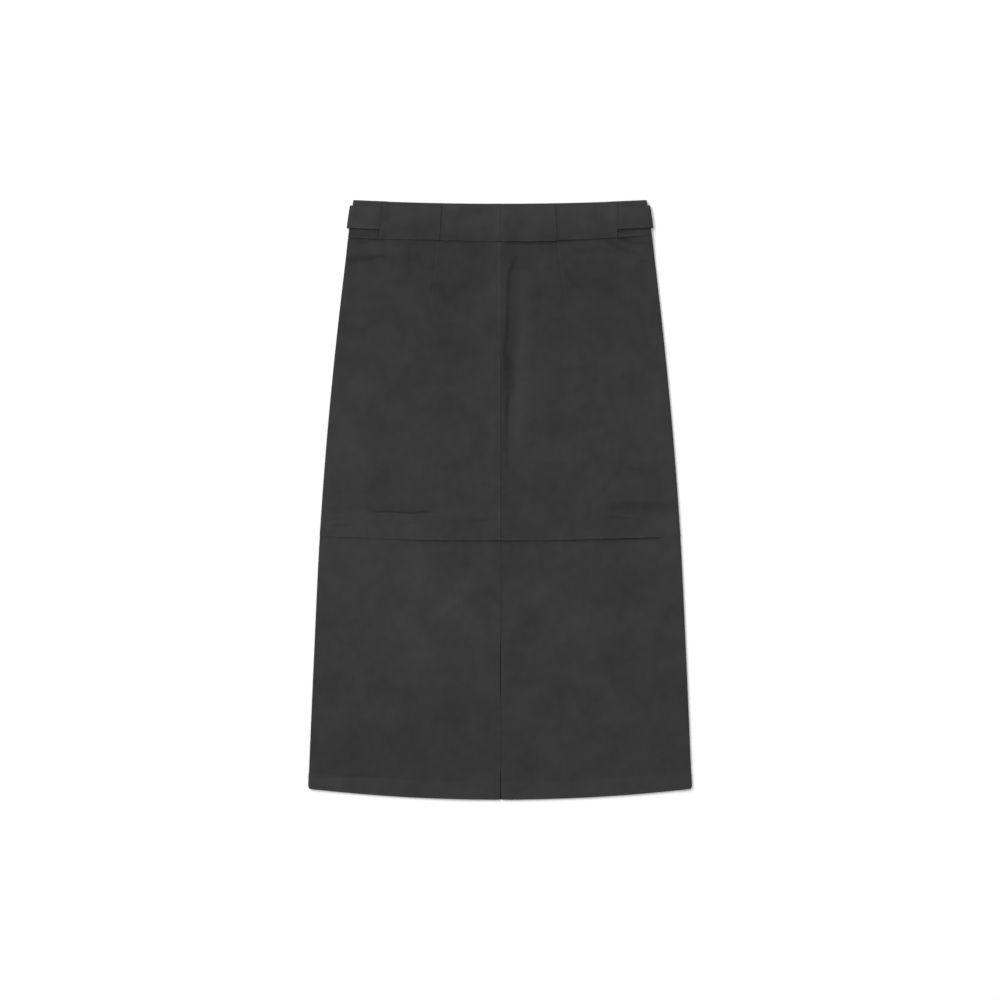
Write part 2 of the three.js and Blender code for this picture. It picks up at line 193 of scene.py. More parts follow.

# %% [markdown]
# ## Creases and waves
# A washed skirt that was folded and put down has troughs and ridges that never repeat. They could
# come from a cloth simulation, but then they would fall where the solver likes. Placing each one
# from point to point, with its own width and height, puts them where the real ones lie.
# A smooth seeded noise bends the fine ones a little and adds the faint unevenness between them.

# %% Creases of the upper layer
# Each crease has a height, a width and the points that it runs through, in millimetres from the
# middle of the skirt. A negative height is a trough. The main ones stay where they are put and
# keep their full height to both ends; the fine ones are bent by the noise and fade out there.
MAIN_CREASES = [
    (-0.5, 4.5, (-183, -10), (-85, -11)),
    (-0.35, 4, (-85, -26), (-14, -26)),
    (-0.9, 7, (146, -10), (219, -9)),
    (-0.45, 5, (141, -9), (170, -9.5), (196, -7.5), (219, -5)),
    (-0.45, 6, (195, 40), (153, 39), (131, 9)),
    (0.9, 8, (-186, 312), (-126, 313)),
    (-0.8, 4, (-188, 301), (-146, 303)),
    (-0.8, 3.5, (151, 327), (170, 321), (187, 320)),
    (-0.7, 3.5, (137, 322), (167, 310)),
    (-0.4, 5, (92, 311), (146, 311)),
    (-0.6, 3.5, (20, 304), (14, 285), (9, 194), (7, 62)),
    (0.8, 8, (30, 282), (31, 200), (24, 75)),
    (0.6, 10, (-80, -150), (-20, -82)),
    (-0.4, 16, (-60, -270), (-150, -235)),
    (0.4, 18, (60, -120), (120, -190)),
]
FINE_CREASES = [
    (-2, 1.1, (-164, -13.2), (-120, -15), (-80, -15)),
    (0.7, 0.9, (-162, -15.3), (-120, -17.2), (-82, -17.2)),
    (-0.4, 1.5, (-224, -24), (-206, -25), (-188, -26)),
    (-0.7, 1.2, (-212, -34), (-186, -34.5)),
    (-0.5, 1.1, (134, -24), (168, -24.5)),
    (0.3, 1.8, (-122, -7), (-90, -8)),
    (0.3, 1.8, (-128, -23), (-92, -25), (-66, -24)),
    (-0.25, 1.6, (-128, -28), (-100, -29)),
    (-0.5, 1.5, (-36, -25), (-12, -26)),
    (-0.4, 2.5, (-222, -8), (-206, -13), (-196, -21)),
    (0.35, 2.5, (-224, -19), (-208, -23), (-190, -22)),
    (-0.6, 2.2, (146, -6), (184, -5), (218, -7)),
    (0.3, 1.8, (132, -19), (150, -21), (180, -22)),
    (-0.35, 1.6, (128, -14), (142, -16), (160, -17)),
    (-0.6, 1.6, (158, 39), (180, 37), (206, 38)),
    (-0.35, 2, (146, 30), (134, 18), (128, 6)),
    (-0.65, 1.6, (-188, 329), (-168, 327), (-146, 326)),
    (-0.5, 1.6, (-185, 322), (-160, 321)),
    (-0.55, 1.8, (-186, 301), (-166, 302), (-146, 306)),
    (-0.5, 1.8, (-136, 319), (-116, 320), (-98, 319)),
    (-0.7, 1.5, (150, 329), (162, 325), (170, 321)),
    (-0.55, 1.5, (170, 320), (180, 321), (189, 320)),
    (-0.6, 1.5, (136, 322), (152, 316), (167, 310)),
    (-0.5, 1.6, (172, 299), (188, 298)),
    (-0.5, 2.2, (92, 313), (118, 314), (146, 312)),
    (-0.4, 2, (-46, -175), (-42, -183), (-34, -187)),
    (0.35, 2, (-26, -211), (-5, -212)),
    (0.45, 3, (-84, -151), (-58, -132), (-30, -113)),
    (-0.35, 2.5, (92, -106), (96, -114), (99, -124)),
    (0.3, 3, (159, -134), (158, -172)),
    (-0.4, 2, (-144, -88), (-126, -89)),
    (0.45, 1.5, (66, 303), (76, 303)),
    (0.35, 2, (21, 318), (22, 300)),
    (-1.3, 1.8, (21, 302), (14.5, 282), (12, 252), (9.5, 232), (8, 197), (7, 176)),
    (-0.9, 7, (12, 214), (13, 168), (12, 128)),
    (-1.8, 1.4, (10.5, 142), (10, 128), (11.4, 104), (11.3, 80)),
    (-0.45, 3.5, (11.5, 92), (11, 62), (9, 34)),
    (-0.4, 2.5, (10, 24), (6, 14)),
    (0.5, 6, (40, 286), (37, 262), (34, 226)),
    (0.45, 6, (30, 206), (28, 168), (24, 122)),
    (-0.4, 5, (49, 276), (50, 246), (46, 222)),
    (0.35, 5, (-9, 118), (-8, 84), (-9, 44)),
]
WAVES = [(0.3, 380, 520, 0.8), (0.2, 230, -340, 2.1)]  # height, across, along and phase
UNEVENNESS = [(0.30, 75, 11), (0.20, 34, 12), (0.06, 13, 13)]  # height, size and seed
CREASE_BEND = 1.6  # how far the noise bends a crease
CREASE_END = 0.2  # share of a fine crease over which each end fades out
CREASE_FLOOR = 1.7  # no crease gets deeper than this


def nearest_on_path(x, y, points):
    """Distance to a path, and the share of its length at which it is nearest."""
    points = np.array(points, float)
    lengths = np.linalg.norm(np.diff(points, axis=0), axis=1)
    gap = np.full(np.broadcast(x, y).shape, np.inf)
    share = np.zeros(gap.shape)
    for i, length in enumerate(lengths):
        (x1, y1), (dx, dy) = points[i], (points[i + 1] - points[i]) / length
        along = np.clip((x - x1) * dx + (y - y1) * dy, 0, length)
        here = np.hypot(x - x1 - along * dx, y - y1 - along * dy)
        share = np.where(here < gap, (lengths[:i].sum() + along) / lengths.sum(), share)
        gap = np.minimum(here, gap)
    return gap, share


def crease_height(x, y, creases, end=0.0):
    total = np.zeros(np.broadcast(x, y).shape)
    for height, width, *points in creases:
        gap, share = nearest_on_path(x, y, points)
        fade = ramp(np.minimum(share, 1 - share), -0.1 * end, end) if end else 1
        total += height * fade * np.exp(-((gap / width) ** 2))
    return total


def back_creases(x, y):
    """All creases together, with a soft limit on how deep a trough can go."""
    bent_x = x + CREASE_BEND * soft_noise(x, y, 60, 21)
    bent_y = y + CREASE_BEND * soft_noise(x, y, 60, 22)
    fine = crease_height(bent_x, bent_y, FINE_CREASES, CREASE_END)
    height = crease_height(x, y, MAIN_CREASES) + fine
    return np.where(height > 0, height, CREASE_FLOOR * np.tanh(height / CREASE_FLOOR))


def uneven(x, y, first_seed=0):
    return sum(h * soft_noise(x, y, size, first_seed + seed) for h, size, seed in UNEVENNESS)


def back_relief(x, y):
    """Creases, waves and unevenness of the upper layer."""
    height = back_creases(x, y) + uneven(x, y)
    for wave, across, along, phase in WAVES:
        height = height + wave * np.sin(2 * np.pi * (x / across + y / along) + phase)
    return height


print("creases placed by hand on the back:", len(MAIN_CREASES) + len(FINE_CREASES))

# %% [markdown]
# ## Seams
# At a seam one piece is folded under and lies on the other. The allowances inside make that side
# a little higher, and the other side slips under it and dips. That step is what a camera sees as
# a seam line, so it is modelled: the upper piece ends in a rounded fold and the lower one runs on
# beneath it for a few millimetres. A real seam is pressed flatter in some places than in others,
# so each has a strength that changes along it.

# %% Steps, dips and tucks at the seams
SEAM_GAP = 0.3
STEP = 2.0  # half of the width over which a thickness changes
LAP_WIDTH = 10.0
LAP_HEIGHT = 0.55
SEAM_DIP = 0.3
DIP_REACH = 7.0
KNEE_DIP_REACH = 14.0
TUCK = 3.0  # how far a piece runs on under its neighbour
TUCK_DEPTH = 0.9
VENT_EXTRA = 0.3  # the vent's facing is thicker, so what lies under it lies deeper
TUCK_SHIFT = 0.8  # how much further in a piece slips under where the seam is pressed flat
HEM_STEP = 0.35
HEM_STIFFNESS = 0.6
VENT_CORNER = 1.1
VENT_CORNER_RISE = 8.0
HEM_CORNER = 1.4
HEM_CORNER_RISE = 3.5
DART_TOPS = {-1: -79.5, 1: 70.5}
DART_TIPS = {-1: -87.0, 1: 81.5}

# Strength of each seam at places along it: X for the seams across, drop for the centre seam.
WAIST_STRENGTH = ((-190, 0.5), (-110, 0.2), (-75, 0.6), (-25, 0.4), (0, 0.4), (28, 1.1),
                  (75, 1.1), (110, 0.6), (190, 0.5))
KNEE_STRENGTH = ((-226, 0.3), (-150, 0.3), (-95, 1), (-40, 0.75), (0, 1), (55, 0.8), (150, 1.2),
                 (185, 1.5), (197, 1.5), (203, 0.15), (226, 0.15))
CENTRE_STRENGTH = ((46, -0.3), (150, -0.3), (190, 0.2), (240, 0.5), (330, 0.3), (410, 0.5),
                   (430, 0), (480, 0), (515, 0.4), (541, 0.8), (600, 0.4), (624, 0.1), (700, 0.1))

# Places of the centre line: how pale the left panels' edge is, worn and with a painted highlight,
# where the right panels lie under it, and how far the two edges of the vent stand apart where they
# don't.
CENTRE_WEAR_AND_HIGHLIGHT = ((46, 2.2), (130, 2.6), (200, 1.7), (360, 1.7), (380, 2.8), (421, 2.8), (425, 0.6),
               (738, 0.6))
CENTRE_LAPPED = ((46, 1), (536, 1), (546, 0), (610, 0), (628, 1), (686, 1), (700, 0), (738, 0))
VENT_PARTING = ((543, 0), (565, 0.3), (610, 0.15), (628, 0), (700, 0), (712, 0.25), (738, 0.35))


def hem_share(drop):
    return ramp(drop, HEM - HEM_DEPTH - STEP / 2, HEM - HEM_DEPTH + STEP / 2)


def hem_corner(drop):
    return HEM_CORNER * ramp(drop, HEM - HEM_CORNER_RISE, HEM)


def edge_top(drop):
    return mix(EDGE, EDGE_AT_HEM, hem_share(drop))


def roll_radius(drop):
    return (edge_top(drop) - UNDERSIDE) / 2


def roll_start(drop):
    """Distance from the centre line at which the cloth starts to turn round the side."""
    return half_at(drop) - roll_radius(drop) - hem_corner(drop)


def centre_gap(drop):
    """Half of the gap between the two back panels."""
    corner = VENT_CORNER * ramp(drop, HEM - VENT_CORNER_RISE, HEM)
    return SEAM_GAP / 2 + at_places(drop, VENT_PARTING) + corner


def lift_at(x, drop):
    """How far the tab underneath lifts everything above it."""
    seam = tab_seam_at(x, np.minimum(drop, WAIST_SEAM))
    across = ramp(np.abs(x), seam - LIFT_REACH, seam)
    return TAB_LIFT * across * (1 - ramp(drop, WAIST_SEAM, WAIST_SEAM + LIFT_FADE))


def dart_centre(side, drop):
    share = np.clip((drop - WAIST_SEAM) / DART_LENGTH, 0, 1)
    return mix(DART_TOPS[side], DART_TIPS[side], share)


# %% [markdown]
# ## Puckers
# Thread pulls a seam together, and washing shrinks it further, so the cloth ripples beside each
# line of topstitching. A short wave along the seam that fades a few millimetres away from it does
# this well; its height changes along the seam, because real puckers come in groups.

# %% Puckers beside a stitched line
PUCKER = 0.13
PUCKER_LENGTH = 8.5
PUCKER_REACH = 5.0


def puckers(along, away, seed, height=PUCKER):
    """Ripples along a seam, fading with the distance away from it."""
    slip = 0.35 * soft_noise(along, 0, 45, seed)
    strength = 0.5 + 0.6 * soft_noise(along, 0, 70, seed + 1)
    wave = np.sin(2 * np.pi * (along / PUCKER_LENGTH + slip))
    return height * np.clip(strength, 0, 1) * wave * np.exp(-((away / PUCKER_REACH) ** 2))


# %% Relief of the two darts
DART_GROOVE = 0.42
GROOVE_WIDTH = 0.9
DART_RIDGE = 0.16
RIDGE_WIDTH = 1.2
DART_STITCH = 2.8  # distance of each line of stitches from the dart's seam
DART_FADE = 15.0  # above the point, where the groove runs out
POINT_PUCKER = 0.22
POINT_RISE = 6.0  # how far above the point its puckers are highest


def dart_height(x, drop):
    """A narrow groove between two low ridges, puckered where it runs out at the point."""
    total = 0
    tip = WAIST_SEAM + DART_LENGTH
    length = ramp(drop, WAIST_SEAM - 4, WAIST_SEAM + 4) * (1 - ramp(drop, tip - DART_FADE, tip))
    for side in (-1, 1):
        away = x - dart_centre(side, drop)
        groove = -DART_GROOVE * np.exp(-((away / GROOVE_WIDTH) ** 2))
        ridges = DART_RIDGE * np.exp(-(((np.abs(away) - DART_STITCH) / RIDGE_WIDTH) ** 2))
        loose = np.exp(-(((drop - tip + POINT_RISE) / 13) ** 2)) * np.exp(-((away / 6) ** 2))
        ripple = POINT_PUCKER * np.sin(away * 1.1 + 1.2 * np.sin(drop / 4.5))
        total = total + (groove + ridges) * length + ripple * loose
    return total


# %% Height of the back's outer face
UNDER_BAND = 3.25  # the panels' outer face where they slip under the waistband
STITCH_IN = 1.8  # distance of a line of topstitching from its seam
STITCH_DENT = 0.12  # how deep the thread pulls the cloth in
SEAM_STITCH_RIGHT = 2.6  # distance of the centre seam's right line of stitches


class Panel:
    """One of the four back panels: which side it is on, and whether it is an upper one."""

    def __init__(self, side, is_upper):
        self.side = side
        self.is_upper = is_upper


def below_band(x, drop):
    """0 under the waistband, 1 in the open below it."""
    seam = WAIST_SEAM - TUCK_SHIFT * (1 - at_places(x, WAIST_STRENGTH))
    return ramp(drop, seam - 1.6, seam + 1.8)


def near_edge(x, drop):
    return 1 - ramp(roll_start(drop) - np.abs(x), 0, EDGE_REACH)


def back_base(x, drop):
    """The face where no seam allowance lies under it."""
    waist = 1 - ramp(drop, WAIST_SEAM, WAIST_SEAM + LIFT_FADE)
    rest = mix(mix(REST, REST_AT_WAIST, waist), REST_AT_HEM, hem_share(drop))
    relief = back_relief(x, y_at(x, drop)) * (1 - HEM_STIFFNESS * hem_share(drop))
    height = mix(rest + relief + dart_height(x, drop), edge_top(drop), near_edge(x, drop))
    return lift_at(x, drop) + mix(UNDER_BAND, height, below_band(x, drop))


def knee_lap(x, drop, is_upper):
    strength = 0.4 + 0.6 * at_places(x, KNEE_STRENGTH)
    if is_upper:
        top = KNEE_SEAM - LAP_WIDTH
        return LAP_HEIGHT * strength * ramp(drop, top - STEP, top + STEP)
    return -SEAM_DIP * strength * (1 - ramp(drop, KNEE_SEAM, KNEE_SEAM + KNEE_DIP_REACH))


def centre_lap(x, drop, side):
    strength = 0.3 + 0.7 * at_places(drop, CENTRE_STRENGTH)
    away = side * (x - CENTRE_SEAM)
    if side < 0:
        return LAP_HEIGHT * strength * (1 - ramp(away, LAP_WIDTH - STEP, LAP_WIDTH + STEP))
    return -SEAM_DIP * strength * (1 - ramp(away, 0, DIP_REACH))


def back_laps(x, drop, panel):
    """How much the allowances raise the face on one side of a seam, and the other side dips."""
    knee = knee_lap(x, drop, panel.is_upper) * (1 - 0.5 * near_edge(x, drop))
    laps = centre_lap(x, drop, panel.side) + knee
    return laps * below_band(x, drop) + HEM_STEP * hem_share(drop)


def dent(away):
    return -STITCH_DENT * np.exp(-((away / 0.6) ** 2))


def back_stitching(x, drop):
    """Puckers and dents along the back's lines of topstitching."""
    hem_line = drop - (HEM - HEM_DEPTH + STITCH_IN)
    from_seam = x - CENTRE_SEAM
    total = puckers(y_at(x, drop), from_seam, 31)
    total = total + puckers(x, drop - KNEE_SEAM, 33)
    total = total + puckers(x + 0.8 * drop, hem_line, 35)
    total = total + puckers(x, (drop - WAIST_SEAM - 3) / 1.5, 37, 1.3 * PUCKER)
    sewn = 1 - ramp(drop, VENT_TOP - 1, VENT_TOP + 1)
    total = total + sewn * (dent(from_seam + STITCH_IN) + dent(from_seam - SEAM_STITCH_RIGHT))
    return total + dent(drop - KNEE_SEAM + STITCH_IN) + dent(hem_line)


def centre_tuck(x, drop):
    """1 where the right panels have slipped under the left ones, 0 in the open."""
    edge = CENTRE_SEAM - SEAM_GAP / 2 - TUCK_SHIFT * (1 - at_places(drop, CENTRE_STRENGTH))
    return at_places(drop, CENTRE_LAPPED) * (1 - ramp(x, edge - 0.95, edge + 1.1))


def knee_tuck(x, drop):
    """1 where the lower panels have slipped under the upper ones, 0 in the open."""
    edge = KNEE_SEAM - TUCK_SHIFT * (1 - at_places(x, KNEE_STRENGTH))
    return 1 - ramp(drop, edge - 0.95, edge + 1.1)


def back_tuck(x, drop, panel):
    centre = centre_tuck(x, drop) if panel.side > 0 else 0
    knee = 0 if panel.is_upper else knee_tuck(x, drop)
    return np.maximum(centre, knee)


def back_face(x, drop, panel):
    base = back_base(x, drop)
    raised = base + back_laps(x, drop, panel) + back_stitching(x, drop) * below_band(x, drop)
    depth = TUCK_DEPTH + VENT_EXTRA * ramp(drop, VENT_TOP, VENT_TOP + 10)
    return mix(raised, base - depth, back_tuck(x, drop, panel))


def back_wall(x, drop, panel):
    """The panel's thickness, with the allowances folded in under the seams."""
    facing = ramp(drop, VENT_TOP - STEP, VENT_TOP + STEP)
    from_seam = np.abs(x - CENTRE_SEAM)
    facing = facing * (1 - ramp(from_seam, VENT_FACING - STEP, VENT_FACING + STEP))
    turned = CLOTH + (TURNED - CLOTH) * np.maximum(facing, hem_share(drop))
    lapped = CLOTH + np.maximum(back_laps(x, drop, panel), 0)
    return mix(np.maximum(turned, lapped), CLOTH, back_tuck(x, drop, panel))


upper_left = Panel(-1, True)
middle_height = float(back_face(-100, 250, upper_left))
print(f"face of the upper left panel at its middle: {middle_height:.2f} mm up")

# %% [markdown]
# ## Shells
# Every piece is a grid of points on its outer face and a matching grid on its inner face, joined
# round the rim. A folded edge is rounded by sinking the outer face and raising the inner one as
# a circle would, and the grid is finest there. At the sides the panels turn through a quarter
# circle down to the side seam. This could be done with Solidify and Bevel modifiers, but grids
# from a formula keep the seams exact, and topstitching can be laid on the same formula.

# %% Shell helpers
FOLD_SHARE = 0.45  # radius of a folded edge, as a share of the thickness
FOLD_WIDTH = 0.7  # width over which the grid is fine at a folded edge
SIDE_SEAM_GAP = 0.08


def steps(first, *stops):
    """Positions from first through each stop, given as (position, size of the steps to it)."""
    places = [np.array([first], float)]
    for end, size in stops:
        start = places[-1][-1]
        count = max(1, round(abs(end - start) / size))
        places.append(np.linspace(start, end, count + 1)[1:])
    return np.concatenate(places)


def fold_steps(width=FOLD_WIDTH):
    """Distances from a folded edge that follow its roundness."""
    return width * (1 - np.cos(np.linspace(0, np.pi / 2, 6)))


def fold_drop(distance, radius):
    """How far a folded edge falls away at a distance in from it."""
    share = np.clip(1 - distance / radius, 0, 1)
    return radius * (1 - np.sqrt(1 - share**2))


def rolled(s, drop, face_at, facing, depth=0.0):
    """A point at the distance s from the centre line, along a layer that turns at the side.

    facing is 1 for the upper layer and -1 for the lower; depth goes in from the outer face.
    """
    side = np.where(s < 0, -1, 1)
    start = roll_start(drop)
    turn = roll_radius(drop)
    flat = side * np.minimum(np.abs(s), start)
    middle = lift_at(start, drop) + UNDERSIDE + turn
    angle = np.maximum(np.abs(s) - start, 0) / turn
    radius = facing * (face_at(flat, drop) - middle) - depth
    x = flat + side * np.maximum(radius, 0.05) * np.sin(angle)
    z = middle + facing * radius * np.cos(angle)
    return np.stack(np.broadcast_arrays(x, y_at(x, drop), z), -1)


def shell_faces(rows, columns, facing):
    """Quads of the two faces and the rim, pointing outwards."""
    grid = np.arange(rows * columns).reshape(rows, columns)
    inside = grid + rows * columns

    def quads(a, b):
        return np.stack([a[:-1], a[1:], b[1:], b[:-1]], -1).reshape(-1, 4)

    faces = []
    for c in range(columns - 1):
        faces.append(quads(grid[:, c], grid[:, c + 1]))
        faces.append(quads(inside[:, c + 1], inside[:, c]))
    faces.append(quads(inside[:, 0], grid[:, 0]))
    faces.append(quads(grid[:, -1], inside[:, -1]))
    faces.append(quads(grid[0], inside[0]))
    faces.append(quads(inside[-1], grid[-1]))
    faces = np.concatenate(faces)
    return faces if facing > 0 else faces[:, ::-1]


def add_object(name, data):
    """A new object of a mesh, light or camera, placed in the scene."""
    added = bpy.data.objects.new(name, data)
    bpy.context.scene.collection.objects.link(added)
    return added


def make_shell(name, outer, inner, facing, cloth_place, tone):
    """A closed shell with its place on the cloth as UV map, and its tone as an attribute."""
    rows, columns = outer.shape[:2]
    points = np.concatenate([outer.reshape(-1, 3), inner.reshape(-1, 3)]) * MM
    faces = shell_faces(rows, columns, facing)
    mesh = bpy.data.meshes.new(name)
    mesh.from_pydata(points.tolist(), [], faces.tolist())
    mesh.shade_smooth()
    uv = np.tile(np.stack(cloth_place, -1).reshape(-1, 2), (2, 1))
    layer = mesh.uv_layers.new(name="cloth")
    layer.data.foreach_set("uv", uv[faces.ravel()].astype(np.float32).ravel())
    attribute = mesh.attributes.new("tone", "FLOAT", "POINT")
    attribute.data.foreach_set("value", np.tile(tone.ravel(), 2).astype(np.float32))
    print(f"{name}: {2 * len(faces)} triangles")
    return add_object(name, mesh)


def sided_shell(name, side, outer, inner, cloth_place, tone):
    """A shell whose columns start at the other end on the left side, to face outwards."""
    order = slice(None, None, side)
    cloth_place = [grid[:, order] for grid in cloth_place]
    return make_shell(name, outer[:, order], inner[:, order], 1, cloth_place, tone[:, order])


# %% [markdown]
# ## Tone and painted light
# Washing leaves the cloth a little uneven all over, and paler on folded seam edges where it rubs.
# Light and shade are painted in as well: painted shade in the troughs of creases, at the foot of
# seams and under the tabs, and painted highlights on the crests, along folded edges and on the
# band. One number for each point of a shell carries all of this as a share that the material adds
# to its colour.

# %% Where the wash left the cloth paler or darker, and where light and shade are painted
# A pale line along folded edges: partly rubbed paler, partly a painted highlight.
EDGE_WEAR_AND_HIGHLIGHT = 0.15
# Painted shade at the foot of seams, darkest close to the fold.
SEAM_SHADE = -0.36  # at the foot of a strong seam
SEAM_CORE = 1.9  # how far the darkest part of a seam's foot reaches
SEAM_HAZE = 5.0
# Painted shade in crease troughs and painted highlight on crests.
CREASE_SHADING = 0.17  # for each millimetre of height
HEM_TONE = 0.07
# The band's own paler cloth, with painted light that is strongest at its top edge.
BAND_TONES = (0.17, -0.02)  # at the waistband's top and bottom edge

# Each patch holds x, y, half width, half height and tone. Most are clouds of the uneven wash;
# some are painted shade in the valley and crease beside the centre seam on the upper right panel
# and under the left tab, and thin pale and dark ones paint the highlight and shade along the hem's
# step.
WASH_AND_PAINTED_LIGHT_PATCHES = [
    (0, 300, 300, 55, -0.06),
    (-75, 310, 70, 50, -0.1),
    (100, 300, 60, 45, -0.09),
    (110, 215, 60, 50, -0.1),
    (-70, 215, 60, 50, -0.1),
    (-190, 200, 40, 50, -0.07),
    (-75, 140, 50, 40, -0.06),
    (-8, 280, 9, 45, 0.06),
    (9, 168, 10, 32, -0.15),
    (5, 185, 3, 16, -0.13),
    (8.8, 112, 1.8, 18, -0.2),
    (15, 222, 8, 22, -0.1),
    (6, 30, 4, 40, -0.07),
    (-11, 62, 9, 42, 0.06),
    (30, 150, 9, 40, 0.05),
    (19, 20, 14, 130, -0.05),
    (-20, -5, 20, 40, -0.05),
    (-68, 347, 5, 22, 0.07),
    (-45, 352, 16, 18, -0.05),
    (110, 355, 30, 16, 0.05),
    (-205, 20, 40, 130, 0.09),
    (-135, -95, 60, 50, 0.13),
    (-35, -150, 40, 30, 0.08),
    (-115, -195, 60, 60, 0.08),
    (212, -40, 26, 60, 0.11),
    (206, 100, 20, 40, 0.05),
    (-20, -80, 30, 35, -0.06),
    (-150, -318, 50, 30, -0.15),
    (-20, -295, 40, 60, -0.07),
    (50, -333, 25, 20, -0.06),
    (-180, -352, 42, 5, 0.1),
    (-180, -345, 34, 2.8, -0.12),
    (-182, -52.5, 30, 2.5, 0.1),
    (-172, 331, 15, 4.2, -0.22),
    (-170, 343, 18, 4, 0.2),
    (224, -312, 20, 30, -0.05),
    (-217, -31, 11, 12, 0.12),
    (-216, -28.6, 9, 1.4, 0.1),
    (210, -33, 14, 10, 0.1),
    (208, -57, 12, 9, -0.08),
    (-201, -349.2, 13, 1.6, 0.14),
    (-201, -346.6, 13, 1.0, -0.07),
    (-160, -350.2, 14, 1.6, 0.07),
    (-160, -346.8, 14, 1.4, -0.06),
    (157, -350, 32, 3.5, 0.07),
]


# Uneven wash with painted shade and highlights, summed from the patches.
def wash_and_painted_light(x, y):
    total = 0
    for px, py, across, down, tone in WASH_AND_PAINTED_LIGHT_PATCHES:
        total = total + tone * np.exp(-(((x - px) / across) ** 2) - ((y - py) / down) ** 2)
    return total


def seam_foot_shade(distance, strength):
    """Painted shade at the foot of a fold: strongest beside it, with a faint haze further out."""
    beyond = np.maximum(distance, 0)
    core = np.exp(-((beyond / SEAM_CORE) ** 2))
    haze = np.exp(-((beyond / SEAM_HAZE) ** 2))
    return SEAM_SHADE * strength * (0.6 * core + 0.4 * haze)


def painted_seam_shade(x, drop, panel):
    """Painted shade where the panel comes out from under its neighbours."""
    tones = [seam_foot_shade(drop - WAIST_SEAM, at_places(x, WAIST_STRENGTH))]
    if panel.side > 0:
        strength = at_places(drop, CENTRE_STRENGTH) * at_places(drop, CENTRE_LAPPED)
        tones.append(0.8 * seam_foot_shade(x - CENTRE_SEAM, strength))
    if not panel.is_upper:
        tones.append(seam_foot_shade(drop - KNEE_SEAM, at_places(x, KNEE_STRENGTH)))
    return np.minimum.reduce(np.broadcast_arrays(*tones))


def edge_wear_and_highlight(distance, along, seed):
    """A pale, broken line along a folded edge: paler where rubbed, and a painted highlight."""
    strength = 0.75 + 0.45 * soft_noise(along, 0, 16, seed)
    return EDGE_WEAR_AND_HIGHLIGHT * strength * np.exp(-(((distance - 1.2) / 1.2) ** 2))


# Painted shade in the troughs of the creases and painted highlight on their crests.
def painted_crease_shading(x, y):
    return np.clip(CREASE_SHADING * back_creases(x, y), -0.28, 0.12)


# Paler band cloth, with painted light strongest at the top edge and fading towards the waist seam.
def band_tone_and_painted_light(drop):
    return mix(*BAND_TONES, np.clip(drop / WAIST_SEAM, 0, 1))


# %% [markdown]
# ## Back panels
# Rows of the grid run across the skirt at one drop each. Columns start at the centre seam, get
# dense along the dart, and end round the side at the side seam.

# %% Grid of a back panel
BACK_STEP = 2.0
DART_ZONE = 9.0  # on both sides of the dart the grid is fine
SIDE_FOLD = 0.3
SIDE_PULL = 0.98  # share by which rows above the waist seam are drawn down to it at the sides


def between(start, end, count):
    """Columns from start to end in each row, without the first one."""
    return start + (end - start) * np.linspace(0, 1, count + 1)[1:]


def one_grid(columns, drop):
    """Groups of columns side by side, with a row for each drop."""
    return np.concatenate([np.broadcast_to(c, (len(drop), c.shape[-1])) for c in columns], 1)


def side_columns(drop, count):
    """Columns round the turn at the side, finest at the side seam's fold."""
    start = roll_start(drop)
    turn = roll_radius(drop) * np.pi / 2 - SIDE_SEAM_GAP
    fold = start + turn - fold_steps(SIDE_FOLD)[::-1][1:]
    return [start + between(0, turn - SIDE_FOLD, count), fold]


def drawn_down(drop, at_side):
    """Rows above the waist seam, drawn down to it at the sides."""
    return drop - SIDE_PULL * np.minimum(drop - WAIST_SEAM, 0) * at_side


def from_bottom(drop, is_upper):
    """Distance up from a panel's folded bottom edge."""
    return (KNEE_SEAM - SEAM_GAP / 2 if is_upper else HEM) - drop


def panel_rows(is_upper):
    if is_upper:
        rows = steps(WAIST_SEAM - TUCK, (WAIST_SEAM - 2, 1), (WAIST_SEAM + 3, 0.45),
                     (90, 1.2), (322, BACK_STEP), (350, 1.3), (364, BACK_STEP),
                     (KNEE_SEAM - 14, 1), (KNEE_SEAM - 4, 1.2), (KNEE_SEAM - 0.85, 0.4))
        return np.concatenate([rows[:-1], KNEE_SEAM - SEAM_GAP / 2 - fold_steps()[::-1]])
    line = HEM - HEM_DEPTH
    rows = steps(KNEE_SEAM - TUCK, (KNEE_SEAM - 0.6, 0.8), (KNEE_SEAM + 2, 0.4),
                 (KNEE_SEAM + 8, 1.2), (line - 3, BACK_STEP), (line + 4, 0.5),
                 (HEM - 0.7, BACK_STEP))
    return np.concatenate([rows[:-1], HEM - fold_steps()[::-1]])


def centre_edge(drop, side):
    """Where a panel's centre edge lies; the right one runs on under the left one."""
    if side < 0:
        return centre_gap(drop) - CENTRE_SEAM
    return mix(centre_gap(drop), -TUCK, at_places(drop, CENTRE_LAPPED)) + CENTRE_SEAM


def panel_columns(drop, panel):
    edge = centre_edge(drop, panel.side)
    start = roll_start(drop)
    near = [edge + fold_steps(), edge + steps(FOLD_WIDTH, (4.5, 0.45), (LAP_WIDTH + 12, 1.2))[1:]]
    columns = list(near)
    if panel.is_upper:
        dart = np.abs(dart_centre(panel.side, drop))
        columns.append(between(near[1][:, -1:], dart - DART_ZONE, 27))
        columns.append(between(dart - DART_ZONE, dart + DART_ZONE, 26))
        columns.append(between(dart + DART_ZONE, start, 60))
    else:
        columns.append(between(near[1][:, -1:], start, 108))
    return one_grid(columns + side_columns(drop, 7), drop)


